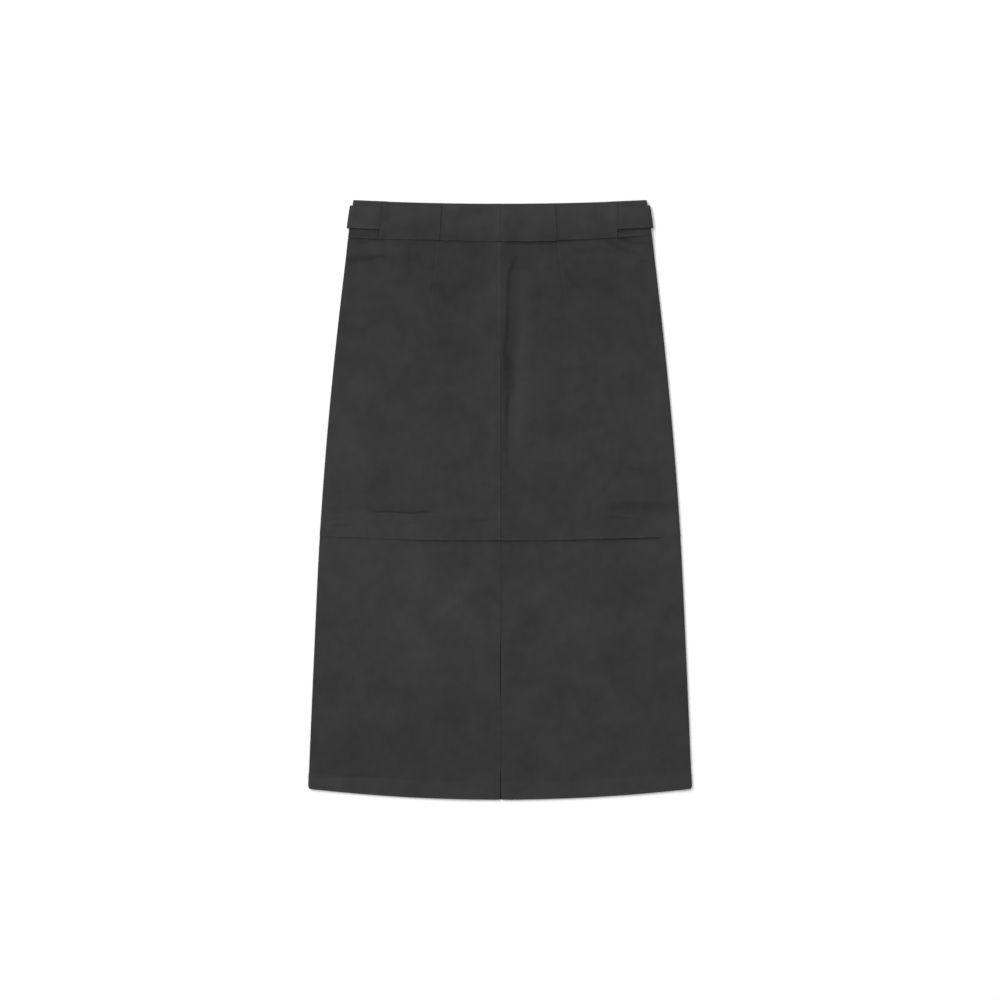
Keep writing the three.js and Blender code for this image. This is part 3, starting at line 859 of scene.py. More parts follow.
# %% Make the four back panels
def back_panel(name, side, is_upper):
    panel = Panel(side, is_upper)
    drop = panel_rows(is_upper)[:, None]
    reach = panel_columns(drop, panel)
    at_side = near_edge(np.minimum(reach, roll_start(drop)), drop)
    if is_upper:
        drop = drawn_down(drop, at_side)
    drop = np.broadcast_to(drop, reach.shape)
    s = side * reach
    flat = side * np.minimum(reach, roll_start(drop))
    wall = back_wall(flat, drop, panel)
    bottom = from_bottom(drop, is_upper)
    centre = reach - centre_edge(drop, side)
    sunk = np.maximum(fold_drop(bottom, FOLD_SHARE * wall), fold_drop(centre, FOLD_SHARE * wall))
    sunk = np.maximum(sunk, fold_drop(reach[:, -1:] - reach, SIDE_FOLD))

    def face_at(x, at_drop):
        return back_face(x, at_drop, panel)

    outer = rolled(s, drop, face_at, 1, sunk)
    inner = rolled(s, drop, face_at, 1, wall - sunk)
    x, y = outer[..., 0], outer[..., 1]
    # The centre edge's pale line, worn and a painted highlight, and the painted shade of creases
    # and seams join the wash.
    wear_and_highlight = at_places(drop, CENTRE_WEAR_AND_HIGHLIGHT) if side < 0 else 1 - at_places(drop, CENTRE_LAPPED)
    tone = wash_and_painted_light(x, y) + painted_crease_shading(x, y) + HEM_TONE * hem_share(drop)
    tone = tone + painted_seam_shade(flat, drop, panel)
    tone = tone + edge_wear_and_highlight(bottom, x, 41) + edge_wear_and_highlight(centre - 0.4, y, 42) * wear_and_highlight
    return sided_shell(name, side, outer, inner, (s, drop), tone)


back_pieces = [
    back_panel("back_upper_left_cloth", -1, True),
    back_panel("back_upper_right_cloth", 1, True),
    back_panel("back_lower_left_cloth", -1, False),
    back_panel("back_lower_right_cloth", 1, False),
]

# %% [markdown]
# ## Front panels
# The front lies underneath, face down on the table. It has no centre seam and no darts that show.
# Its face can only rise from the table, so its creases are places where the cloth lifts off.

# %% Height of the front's outer face
FRONT_KNEE_WALL = 1.2
FRONT_UNDER_BAND = 1.8
FRONT_LIFT = 0.25  # how far the cloth is lifted on the whole
FRONT_UNEVEN = 0.6  # its unevenness, as a share of the upper layer's
FRONT_RELIEF = 0.9  # scales the lift, the unevenness and the creases together
FRONT_CREASES = [
    (0.6, 4, (-172, 36), (-132, 31), (-96, 33)),
    (0.4, 3, (-60, -14), (-8, -19)),
    (0.65, 4, (118, -2), (154, 1), (190, 6)),
    (0.4, 2.5, (176, -22), (150, -34), (128, -40)),
    (0.5, 3, (-178, 306), (-150, 298), (-120, 296)),
    (0.5, 3.5, (104, 318), (140, 312), (176, 300)),
    (0.45, 5, (-34, 210), (-33, 150), (-26, 96)),
    (0.5, 6, (52, -150), (84, -128), (104, -96)),
    (0.45, 8, (-128, -212), (-62, -244)),
    (0.4, 7, (138, -262), (84, -288)),
    (0.4, 5, (-206, -120), (-170, -172)),
]


def front_relief(x, y):
    bent_y = y + CREASE_BEND * soft_noise(x, y, 60, 23)
    creases = crease_height(x, bent_y, FRONT_CREASES, CREASE_END)
    lifted = FRONT_LIFT + FRONT_UNEVEN * uneven(x, y, 50) + creases
    return np.maximum(lifted, 0) * FRONT_RELIEF


def front_tuck(drop, is_upper):
    return 0 * drop if is_upper else 1 - ramp(drop, KNEE_SEAM - 0.6, KNEE_SEAM + 1.3)


def front_face(x, drop, is_upper):
    relief = front_relief(x, y_at(x, drop)) * (1 - 0.7 * hem_share(drop))
    relief = relief * (1 - near_edge(x, drop))
    if not is_upper:
        relief = relief + SEAM_DIP * (1 - ramp(drop, KNEE_SEAM, KNEE_SEAM + KNEE_DIP_REACH))
    relief = relief + 0.9 * TUCK_DEPTH * front_tuck(drop, is_upper)
    height = mix(FRONT_UNDER_BAND, UNDERSIDE + relief, below_band(x, drop))
    return lift_at(x, drop) + height


def front_wall(drop, is_upper):
    wall = CLOTH + (TURNED - CLOTH) * hem_share(drop)
    if not is_upper:
        return wall
    top = KNEE_SEAM - LAP_WIDTH
    return mix(CLOTH, FRONT_KNEE_WALL, ramp(drop, top - STEP, top + STEP))


# %% Make the two front panels
def front_panel(name, is_upper):
    drop = panel_rows(is_upper)
    keep = np.ones(len(drop), bool)
    plain = (drop > WAIST_SEAM + 8) & (drop < KNEE_SEAM - 16) | (drop > KNEE_SEAM + 9)
    plain &= drop < HEM - HEM_DEPTH - 4
    keep[np.flatnonzero(plain)[::2]] = False
    drop = drop[keep][:, None]
    start = roll_start(drop)
    half = one_grid([start * np.linspace(0, 1, 62)] + side_columns(drop, 6), drop)
    s = np.concatenate([-half[:, :0:-1], half], 1)
    at_side = near_edge(np.minimum(np.abs(s), start), drop)
    drop = np.broadcast_to(drop, s.shape)
    if is_upper:
        drop = drawn_down(drop, at_side)
    wall = front_wall(drop, is_upper)
    bottom = from_bottom(drop, is_upper)
    sunk = np.maximum(fold_drop(bottom, FOLD_SHARE * wall),
                      fold_drop(half[:, -1:] - np.abs(s), SIDE_FOLD))

    def face_at(x, at_drop):
        return front_face(x, at_drop, is_upper)

    outer = rolled(s, drop, face_at, -1, sunk)
    inner = rolled(s, drop, face_at, -1, wall - sunk)
    # Painted shade below the waist seam, and below the knee seam on the lower panel.
    tone = HEM_TONE * hem_share(drop) + seam_foot_shade(drop - WAIST_SEAM, 0.7)
    tone = tone + 0.05 * soft_noise(s, drop, 120, 61) + edge_wear_and_highlight(bottom, s, 43)
    if not is_upper:
        tone = tone + seam_foot_shade(drop - KNEE_SEAM, 0.7)
    return make_shell(name, outer, inner, -1, (s, drop), tone)


front_pieces = [front_panel("front_upper_cloth", True), front_panel("front_lower_cloth", False)]

# %% [markdown]
# ## Waistband
# The band is cut in pieces that are joined where the darts and the centre seam end. It is stiff,
# of two plies with a stiffener between, so it has hardly any creases of its own. At each seam
# the left piece lies on the right one, apart from the seams that hold the side tabs, where the
# band's back pieces lie on both the tab and the piece that wraps the side.

# %% Height of the waistband's outer face
BAND_STRENGTH = {"dart_left": 0.7, "centre": -0.3, "dart_right": 0.5}
BAND_LAP = 0.35
BAND_LAP_REACH = 9.0
BAND_DIP = 0.2
BAND_DIP_REACH = 6.0
BAND_TUCK = 2.0
BAND_TUCK_DEPTH = 1.3
BAND_STEP = 1.8


def band_relief(x, drop):
    relief = 0.4 * uneven(x, 1.6 * drop, 70) + 0.1 * soft_noise(x, drop, 22, 71)
    line = WAIST_SEAM - STITCH_IN
    return relief + puckers(x, drop - line, 72) + dent(drop - line)


def band_tuck(from_left, left_seam):
    edge = -TUCK_SHIFT * (1 - BAND_STRENGTH[left_seam])
    return 1 - ramp(from_left, edge - 0.9, edge + 1.1)


def band_face(x, drop, left_seam, right_seam):
    """The face of the band piece that runs between two seams."""
    from_left = x - seam_x(left_seam, drop)
    to_right = seam_x(right_seam, drop) - x
    height = BAND_TOP + band_relief(x, drop)
    height = height + BAND_LAP * (1 - ramp(to_right, BAND_LAP_REACH - 3, BAND_LAP_REACH))
    if left_seam == "tab_left":
        height = height + BAND_LAP * (1 - ramp(from_left, BAND_LAP_REACH - 3, BAND_LAP_REACH))
    else:
        height = height - BAND_DIP * (1 - ramp(from_left, 0, BAND_DIP_REACH))
        height = height - BAND_TUCK_DEPTH * band_tuck(from_left, left_seam)
    return lift_at(x, drop) + height


# %% Make the waistband's back and front pieces
def band_rows():
    middle = steps(FOLD_WIDTH, (WAIST_SEAM - 4, BAND_STEP), (WAIST_SEAM - 0.85, 0.4))[1:-1]
    return np.concatenate([fold_steps(), middle, WAIST_SEAM - SEAM_GAP / 2 - fold_steps()[::-1]])


def flat_shell(name, x, drop, face, edges, facing, tone):
    """A flat piece of the band, given the distances in from its folded edges."""
    sunk = np.maximum.reduce([fold_drop(edge, FOLD_SHARE * BAND) for edge in edges])
    y = y_at(x, drop)
    outer = np.stack([x, y, face - facing * sunk], -1)
    inner = np.stack([x, y, face - facing * (BAND - sunk)], -1)
    return make_shell(name, outer, inner, facing, (x, drop), tone)


def band_piece(name, left_seam, right_seam):
    drop = band_rows()[:, None]
    is_free = left_seam == "tab_left"
    left = seam_x(left_seam, drop) + (SEAM_GAP / 2 if is_free else -BAND_TUCK)
    right = seam_x(right_seam, drop) - SEAM_GAP / 2
    first = left + (fold_steps() if is_free else steps(0, (1.4, 0.7), (3.6, 0.3)))
    last = right - fold_steps()[::-1]
    count = round(float((last[0, 0] - first[0, -1]) / BAND_STEP))
    x = np.concatenate([first, between(first[:, -1:], last[:, :1], count)[:, :-1], last], 1)
    drop = np.broadcast_to(drop, x.shape)
    face = band_face(x, drop, left_seam, right_seam)
    edges = [drop, WAIST_SEAM - SEAM_GAP / 2 - drop, right - x]
    if is_free:
        edges.append(x - left)
    tone = band_tone_and_painted_light(drop) + wash_and_painted_light(x, y_at(x, drop)) + 0.05 * soft_noise(x, 2 * drop, 45, 73)
    tone = tone + 0.5 * edge_wear_and_highlight(edges[1], x, 74) + edge_wear_and_highlight(right - x, drop, 75)
    # Painted shade at the foot of the seam on the piece's left.
    if not is_free:
        from_left = x - seam_x(left_seam, drop)
        tone = tone + 0.8 * seam_foot_shade(from_left, BAND_STRENGTH[left_seam])
    return flat_shell(name, x, drop, face, edges, 1, tone)


def band_front_face(x, drop):
    lifted = np.maximum(0.1 + 0.3 * uneven(x, drop, 80), 0) * ramp(drop, 0, 6)
    return lift_at(x, drop) + UNDERSIDE + lifted * (1 - ramp(drop, WAIST_SEAM - 6, WAIST_SEAM))


def band_front(name):
    drop = band_rows()[:, None]
    left = seam_x("tab_left", drop) + SEAM_GAP / 2
    right = seam_x("tab_right", drop) - SEAM_GAP / 2
    first = left + fold_steps()
    last = right - fold_steps()[::-1]
    x = np.concatenate([first, between(first[:, -1:], last[:, :1], 166)[:, :-1], last], 1)
    drop = np.broadcast_to(drop, x.shape)
    face = band_front_face(x, drop)
    edges = [drop, WAIST_SEAM - SEAM_GAP / 2 - drop, x - left, right - x]
    tone = band_tone_and_painted_light(drop) + 0.05 * soft_noise(x, 2 * drop, 45, 83) + edge_wear_and_highlight(edges[1], x, 84)
    return flat_shell(name, x, drop, face, edges, -1, tone)


band_pieces = [
    band_piece("waistband_back_outer_left_cloth", "tab_left", "dart_left"),
    band_piece("waistband_back_inner_left_cloth", "dart_left", "centre"),
    band_piece("waistband_back_inner_right_cloth", "centre", "dart_right"),
    band_piece("waistband_back_outer_right_cloth", "dart_right", "tab_right"),
    band_front("waistband_front_cloth"),
]

# %% [markdown]
# ## Sides of the waistband and the tabs
# At each side one piece of the band wraps the edge from back to front, and a short tab lies over
# it, caught in the same two seams. Both follow one path: flat, a half turn, and flat again below.
# Near the seams they sink, because the band's neighbouring piece holds them down.

# %% Pieces that wrap the side
BAND_RADIUS = 2.45


class Wrap:
    """How a piece wraps the side; offsets are from the band's own path."""

    def __init__(self, start, radius, slack, wall, sink, sink_reach):
        self.start = start  # where it starts, from the tab seam
        self.radius = radius  # of its outer face
        self.slack = slack  # how much further it stands out where it turns
        self.wall = wall
        self.sink = sink
        self.sink_reach = sink_reach


SIDE_BAND = Wrap(start=-1.5, radius=BAND_RADIUS, slack=0, wall=BAND, sink=0.9, sink_reach=4)
SIDE_TAB = Wrap(start=-0.4, radius=4.15, slack=1.6, wall=TAB, sink=1.3, sink_reach=6)
TAB_CROWN = 0.18  # the stitched tab is a little fuller between its two rows of stitches
TAB_STITCH_IN = 2.2
# The dark line along the tab's lower edge is a painted shadow on the side band.
TAB_SHADE = 1.5  # strength of the dark line along the tab's lower edge


def tab_crown(drop):
    edge = np.minimum(drop - TAB_TOP, TAB_BOTTOM - drop)
    return TAB_CROWN * ramp(edge, TAB_STITCH_IN, 9) + dent(edge - TAB_STITCH_IN)


def flat_length(wrap, side, drop):
    return half_at(drop) - tab_seam_at(side, drop) - BAND_RADIUS - wrap.start


def wrapped(wrap, side, along, drop, depth=0.0):
    """A point at a distance along a wrapping piece, from its seam above to its seam below."""
    flat = flat_length(wrap, side, drop)
    turn = np.pi * wrap.radius
    angle = np.clip((along - flat) / wrap.radius, 0, np.pi)
    beyond = np.maximum(along - flat - turn, 0)
    from_end = np.minimum(along, 2 * flat + turn - along)
    sunk = wrap.sink * (1 - ramp(from_end, 0.3, wrap.sink_reach))
    crown = tab_crown(drop) * ramp(from_end, 2, 8) if wrap is SIDE_TAB else 0
    radius = wrap.radius - depth - sunk + crown * np.cos(angle / 2) ** 2
    reach = tab_seam_at(side, drop) + wrap.start + np.minimum(along, flat) - beyond
    x = side * (reach + (radius + wrap.slack) * np.sin(angle))
    z = TAB_LIFT + BAND_RADIUS + radius * np.cos(angle)
    return np.stack(np.broadcast_arrays(x, y_at(x, drop), z), -1)


def wrap_piece(name, wrap, side, drop, top, bottom):
    drop = drop[:, None]
    flat = flat_length(wrap, side, drop)
    turn = np.pi * wrap.radius
    first = steps(0, (1.5, 0.5), (6, 0.9))
    upper = np.concatenate([0 * flat + first, between(first[-1], flat, 15)], 1)
    half_turn = flat + between(0, turn, 20)
    below = flat + turn + flat - upper[:, -2::-1]
    along = np.concatenate([upper, half_turn, below], 1)
    drop = np.broadcast_to(drop, along.shape)
    radius = FOLD_SHARE * wrap.wall
    sunk = np.maximum(fold_drop(drop - top, radius), fold_drop(bottom - drop, radius))
    outer = wrapped(wrap, side, along, drop, sunk)
    inner = wrapped(wrap, side, along, drop, wrap.wall - sunk)
    tone = band_tone_and_painted_light(drop) + 0.04 * soft_noise(along, 2 * drop, 40, 91 + side)
    tone = tone + edge_wear_and_highlight(bottom - drop, along, 93) + 0.6 * edge_wear_and_highlight(drop - top, along, 94)
    # Painted shade beside the seam that holds the piece, and the painted light of the patches.
    tone = tone + seam_foot_shade(along - 0.5, 0.5) + wash_and_painted_light(outer[..., 0], outer[..., 1])
    # Painted shadow on the side band under the tab's lower edge.
    if wrap is SIDE_BAND:
        tone = tone + seam_foot_shade(drop - TAB_BOTTOM, TAB_SHADE) * ramp(drop, TAB_TOP - 1, TAB_TOP)
    return sided_shell(name, side, outer, inner, (side * along, drop), tone)


def tab_rows():
    first = TAB_TOP + fold_steps(0.6)
    last = TAB_BOTTOM - fold_steps(0.6)[::-1]
    inside = TAB_TOP + TAB_STITCH_IN + 2
    middle = steps(first[-1], (inside, 0.4), (TAB_TOP + TAB_BOTTOM - inside, 1.6), (last[0], 0.4))
    return np.concatenate([first, middle[1:-1], last])


band_bottom = WAIST_SEAM - SEAM_GAP / 2
side_pieces = [
    wrap_piece("waistband_side_left_cloth", SIDE_BAND, -1, band_rows(), 0, band_bottom),
    wrap_piece("waistband_side_right_cloth", SIDE_BAND, 1, band_rows(), 0, band_bottom),
    wrap_piece("side_tab_left_cloth", SIDE_TAB, -1, tab_rows(), TAB_TOP, TAB_BOTTOM),
    wrap_piece("side_tab_right_cloth", SIDE_TAB, 1, tab_rows(), TAB_TOP, TAB_BOTTOM),
]

# %% [markdown]
# ## Washed twill
# Twill shows fine diagonal ribs, because each weft thread passes over two or three warp threads
# and the next row is shifted by one. Under that, spun yarn is uneven, which gives faint upright
# streaks, and garment washing leaves the colour cloudy. Each of these takes one or two textures
# at their real size, driven by the UV map, which holds millimetres of cloth, so the pattern
# follows the cloth round the sides.

# %% Node helpers
CHARCOAL = (0.0305, 0.0305, 0.0305)


def add_node(tree, kind, inputs=(), **settings):
    """A node with its plain settings, and the values or links for its inputs."""
    node = tree.nodes.new(kind)
    for name, value in settings.items():
        setattr(node, name, value)
    for name, value in dict(inputs).items():
        socket = node.inputs[name]
        if isinstance(value, bpy.types.NodeSocket):
            tree.links.new(value, socket)
        else:
            socket.default_value = value
    return node


def calculate(tree, operation, a, b=0.0, c=0.0):
    node = add_node(tree, "ShaderNodeMath", {0: a, 1: b, 2: c}, operation=operation)
    return node.outputs[0]


def stretched(tree, place, across, down):
    """Cloth coordinates counted in cells of this many millimetres."""
    inputs = {"Vector": place, "Scale": (1 / across, 1 / down, 1)}
    return add_node(tree, "ShaderNodeMapping", inputs).outputs["Vector"]


def noise(tree, place, across, down, detail=2.0, roughness=0.5):
    place = stretched(tree, place, across, down)
    settings = {"Vector": place, "Scale": 1.0, "Detail": detail, "Roughness": roughness}
    node = add_node(tree, "ShaderNodeTexNoise", settings, noise_dimensions="2D")
    return calculate(tree, "SUBTRACT", node.outputs["Fac"], 0.5)


def new_material(name):
    """A new material and its emptied tree."""
    material = bpy.data.materials.new(name)
    material.use_nodes = True
    material.node_tree.nodes.clear()
    return material, material.node_tree


# %% The twill material
RIB_WIDTH = 0.8  # across the diagonal ribs, measured along a row
BASE_SHADE = 0.92  # before the textures add to it

# Uneven colour: size across and down the cloth in millimetres, detail and strength.
COLOUR_NOISES = [
    (42, 42, 2, 0.38),  # clouds left by the wash
    (12, 12, 1, 0.18),  # mottling
    (2.2, 34, 2, 0.07),  # thick and thin yarns down the cloth
    (34, 1.8, 2, 0.03),  # the same across it
]
YARN_STRENGTH = 0.2
RIB_STRENGTH = 0.14

# Heights in millimetres of what the mesh doesn't carry.
RIB_RELIEF = 0.02
YARN_RELIEF = 0.03
RUMPLE_RELIEF = 0.09


def diagonal_ribs(tree, place):
    """A wave from 0 to 1 across the ribs of the twill."""
    scale = 2 * np.pi / 10 / RIB_WIDTH
    inputs = {"Vector": place, "Scale": scale, "Distortion": 0.6, "Detail": 1.0}
    inputs["Detail Scale"] = 1.5
    settings = {"wave_type": "BANDS", "bands_direction": "DIAGONAL"}
    return add_node(tree, "ShaderNodeTexWave", inputs, **settings).outputs["Fac"]


def washed_and_shaded_colour(tree, place, yarn, ribs):
    """Charcoal, shaded by each point's tone, which carries painted shade and highlights, and by the
    uneven colour of the cloth.
    """
    tone = add_node(tree, "ShaderNodeAttribute", attribute_name="tone").outputs["Fac"]
    layers = [(noise(tree, place, *row[:3]), row[3]) for row in COLOUR_NOISES]
    layers += [(yarn, YARN_STRENGTH), (ribs, RIB_STRENGTH)]
    shade = calculate(tree, "ADD", tone, BASE_SHADE)
    for texture, strength in layers:
        shade = calculate(tree, "MULTIPLY_ADD", texture, strength, shade)
    inputs = {0: CHARCOAL, "Scale": shade}
    return add_node(tree, "ShaderNodeVectorMath", inputs, operation="SCALE").outputs["Vector"]


def woven_relief(tree, place, yarn, ribs):
    """The direction that the cloth faces, with ribs, yarns and small rumples."""
    relief = calculate(tree, "MULTIPLY", ribs, RIB_RELIEF)
    relief = calculate(tree, "MULTIPLY_ADD", yarn, YARN_RELIEF, relief)
    relief = calculate(tree, "MULTIPLY_ADD", noise(tree, place, 9, 8, 2), RUMPLE_RELIEF, relief)
    inputs = {"Height": relief, "Strength": 1.0, "Distance": MM}
    return add_node(tree, "ShaderNodeBump", inputs).outputs["Normal"]


def twill_material():
    material, tree = new_material("washed_charcoal_twill")
    place = add_node(tree, "ShaderNodeUVMap", uv_map="cloth").outputs["UV"]
    ribs = diagonal_ribs(tree, place)
    yarn = noise(tree, place, 0.45, 0.9)
    shader = add_node(tree, "ShaderNodeBsdfPrincipled", {
        "Base Color": washed_and_shaded_colour(tree, place, yarn, ribs),
        "Roughness": 0.92,
        "Specular IOR Level": 0.12,
        "Sheen Weight": 0.04,
        "Sheen Roughness": 0.5,
        "Normal": woven_relief(tree, place, yarn, ribs),
    })
    add_node(tree, "ShaderNodeOutputMaterial", {"Surface": shader.outputs["BSDF"]})
    return material


twill = twill_material()
cloth_pieces = back_pieces + front_pieces + band_pieces + side_pieces
for piece in cloth_pieces:
    piece.data.materials.append(twill)
print("pieces in washed twill:", len(cloth_pieces))

# %% [markdown]
# ## Topstitching
# Skirts like this are usually sewn down with a line of stitches beside most seams, along the hem
# and the tabs, and on both sides of each dart, so that is where the lines are put. A stitch is a
# short thread that dips into the cloth at both ends, so one stretched sphere stands for it. Over
# a thousand are needed, so the paths are made here, on the same formulas as the cloth, and
# Geometry Nodes set a stitch at every step along them.

# %% Paths that the stitches follow
PATH_STEP = 1.6
THREAD_LIFT = 0.08  # height of the middle of a stitch above the cloth
PRESSED_LIFT = -0.05  # the same underneath, where the skirt lies on its stitches
END_GAP = 2.5  # a line of stitches stops this far before a seam across it
SIDE_END = 0.5  # and this far before the side seam


def path_on(point_at, outward, across, drop):
    """Points just above a surface, each with the direction that the surface faces."""
    across, drop = np.broadcast_arrays(np.asarray(across, float), np.asarray(drop, float))
    small = 0.05
    down = point_at(across, drop + small) - point_at(across, drop - small)
    along = point_at(across + small, drop) - point_at(across - small, drop)
    facing = np.cross(down, along) * outward
    facing = facing / np.linalg.norm(facing, axis=-1, keepdims=True)
    lift = np.where(facing[..., 2:] < -0.5, PRESSED_LIFT, THREAD_LIFT)
    return point_at(across, drop) + lift * facing, facing


def steps_between(start, end):
    return steps(start, (end, PATH_STEP))


def lower_line(is_upper):
    """Drop of the stitches along a panel's knee seam or its hem."""
    return KNEE_SEAM - STITCH_IN if is_upper else HEM - HEM_DEPTH + STITCH_IN


def reach_of(line):
    """Distance along the cloth from the centre line, round the turn, to the last stitch."""
    return float(roll_start(line) + roll_radius(line) * np.pi / 2) - SIDE_END


def panel_paths(side, is_upper):
    """Lines along a back panel's centre seam, and along its knee seam or its hem."""
    panel = Panel(side, is_upper)
    line = lower_line(is_upper)
    first, last = (WAIST_SEAM, KNEE_SEAM) if is_upper else (KNEE_SEAM, VENT_TOP + END_GAP)

    def point_at(s, drop):
        return rolled(s, drop, lambda x, at_drop: back_face(x, at_drop, panel), 1)

    beside = CENTRE_SEAM + (-STITCH_IN if side < 0 else SEAM_STITCH_RIGHT)
    down = steps_between(first + END_GAP, last - END_GAP)
    paths = [path_on(point_at, 1, beside, down)]
    paths.append(path_on(point_at, 1, side * steps_between(END_GAP, reach_of(line)), line))
    if is_upper:
        down = steps_between(WAIST_SEAM + END_GAP, WAIST_SEAM + DART_LENGTH - 10)
        for away in (-DART_STITCH, DART_STITCH):
            paths.append(path_on(point_at, 1, dart_centre(side, down) + away, down))
    return paths


def front_paths(is_upper):
    line = lower_line(is_upper)
    reach = reach_of(line)

    def point_at(s, drop):
        return rolled(s, drop, lambda x, at_drop: front_face(x, at_drop, is_upper), -1)

    return [path_on(point_at, -1, steps_between(-reach, reach), line)]


def band_paths(left_seam, right_seam):
    """A line along the bottom of a band piece, and one beside its right seam."""

    def point_at(x, drop):
        return np.stack([x, y_at(x, drop), band_face(x, drop, left_seam, right_seam)], -1)

    line = WAIST_SEAM - STITCH_IN
    across = steps_between(seam_x(left_seam, line) + END_GAP, seam_x(right_seam, line) - 1)
    down = steps_between(END_GAP, line - 1)
    paths = [path_on(point_at, 1, across, line)]
    paths.append(path_on(point_at, 1, seam_x(right_seam, down) - STITCH_IN, down))
    if left_seam == "tab_left":
        paths.append(path_on(point_at, 1, seam_x(left_seam, down) + STITCH_IN, down))
    return paths


def band_front_path():
    def point_at(x, drop):
        return np.stack([x, y_at(x, drop), band_front_face(x, drop)], -1)

    line = WAIST_SEAM - STITCH_IN
    start = seam_x("tab_left", line) + END_GAP
    end = seam_x("tab_right", line) - END_GAP
    return [path_on(point_at, -1, steps_between(start, end), line)]


def wrap_paths(wrap, side, lines):
    """Lines round the side, each at its own drop."""

    def point_at(along, drop):
        return wrapped(wrap, side, along, drop)

    paths = []
    for line in lines:
        length = float(2 * flat_length(wrap, side, line) + np.pi * wrap.radius)
        paths.append(path_on(point_at, side, steps_between(END_GAP, length - END_GAP), line))
    return paths


stitch_paths = band_front_path() + front_paths(True) + front_paths(False)
for side in (-1, 1):
    stitch_paths += panel_paths(side, True) + panel_paths(side, False)
    stitch_paths += wrap_paths(SIDE_BAND, side, [WAIST_SEAM - STITCH_IN])
    tab_lines = [TAB_TOP + TAB_STITCH_IN, TAB_BOTTOM - TAB_STITCH_IN]
    stitch_paths += wrap_paths(SIDE_TAB, side, tab_lines)
for left_seam, right_seam in zip(list(BAND_SEAMS), list(BAND_SEAMS)[1:]):
    stitch_paths += band_paths(left_seam, right_seam)
print("lines of topstitching:", len(stitch_paths))

# %% [markdown]
# The tree turns each path into a curve, marks it at every stitch and puts one stretched sphere on
# each mark. It lies along the curve and its upper side faces the way the cloth does. A small
# random turn keeps the row from looking ruled.

# %% Geometry Nodes tree of the stitches
def new_socket(tree, name, kind, default=None):
    socket = tree.interface.new_socket(name, in_out="INPUT", socket_type=kind)
    if default is not None:
        socket.default_value = default
    return socket.identifier


def stitch_shape(tree, length, radius):
    """A sphere stretched along X, with few faces as it is repeated often."""
    sphere = add_node(tree, "GeometryNodeMeshUVSphere", {"Segments": 6, "Rings": 4, "Radius": 1.0})
    half = add_node(tree, "ShaderNodeMath", {0: length, 1: 0.5}, operation="MULTIPLY")
    scale = add_node(tree, "ShaderNodeCombineXYZ", {"X": radius, "Y": radius, "Z": half.outputs[0]})
    lying = add_node(tree, "GeometryNodeTransform", {
        "Geometry": sphere.outputs["Mesh"],
        "Rotation": (0, np.pi / 2, 0),
        "Scale": scale.outputs["Vector"],
    })
    return lying.outputs["Geometry"]


def stitch_rotation(tree, seed):
    """Along the path, facing as the cloth does, with a small random turn."""
    tangent = add_node(tree, "GeometryNodeInputTangent").outputs["Tangent"]
    facing = add_node(tree, "GeometryNodeInputNamedAttribute", {"Name": "facing"},
                      data_type="FLOAT_VECTOR").outputs["Attribute"]
    along = add_node(tree, "FunctionNodeAlignRotationToVector", {"Vector": tangent}, axis="X")
    inputs = {"Rotation": along.outputs["Rotation"], "Vector": facing}
    upright = add_node(tree, "FunctionNodeAlignRotationToVector", inputs, axis="Z", pivot_axis="X")
    turn = add_node(tree, "FunctionNodeRandomValue", {"Min": (0.0, -0.02, -0.07),
                    "Max": (0.0, 0.02, 0.07), "Seed": seed}, data_type="FLOAT_VECTOR")
    turn = add_node(tree, "FunctionNodeEulerToRotation", {"Euler": turn.outputs["Value"]})
    inputs = {"Rotation": upright.outputs["Rotation"], "Rotate By": turn.outputs["Rotation"]}
    return add_node(tree, "FunctionNodeRotateRotation", inputs, rotation_space="LOCAL").outputs[0]


def stitch_tree():
    tree = bpy.data.node_groups.new("stitches_on_paths", "GeometryNodeTree")
    sockets = {
        "Paths": new_socket(tree, "Paths", "NodeSocketGeometry"),
        "Pitch": new_socket(tree, "Pitch", "NodeSocketFloat", 0.003),
        "Length": new_socket(tree, "Length", "NodeSocketFloat", 0.0025),
        "Radius": new_socket(tree, "Radius", "NodeSocketFloat", 0.0002),
        "Seed": new_socket(tree, "Seed", "NodeSocketInt", 1),
        "Thread": new_socket(tree, "Thread", "NodeSocketMaterial"),
    }
    tree.interface.new_socket("Stitches", in_out="OUTPUT", socket_type="NodeSocketGeometry")
    given = add_node(tree, "NodeGroupInput").outputs
    curve = add_node(tree, "GeometryNodeMeshToCurve", {"Mesh": given["Paths"]})
    marks = add_node(tree, "GeometryNodeResampleCurve",
                     {"Curve": curve.outputs["Curve"], "Length": given["Pitch"]}, mode="LENGTH")
    placed = add_node(tree, "GeometryNodeInstanceOnPoints", {
        "Points": marks.outputs["Curve"],
        "Instance": stitch_shape(tree, given["Length"], given["Radius"]),
        "Rotation": stitch_rotation(tree, given["Seed"]),
    })
    real = add_node(tree, "GeometryNodeRealizeInstances", {"Geometry": placed.outputs["Instances"]})
    smooth = add_node(tree, "GeometryNodeSetShadeSmooth", {"Geometry": real.outputs["Geometry"]})
    coloured = add_node(tree, "GeometryNodeSetMaterial",
                        {"Geometry": smooth.outputs["Geometry"], "Material": given["Thread"]})
    add_node(tree, "NodeGroupOutput", {"Stitches": coloured.outputs["Geometry"]})
    return tree, sockets


# %% The thread material
THREAD_GREY = 0.042


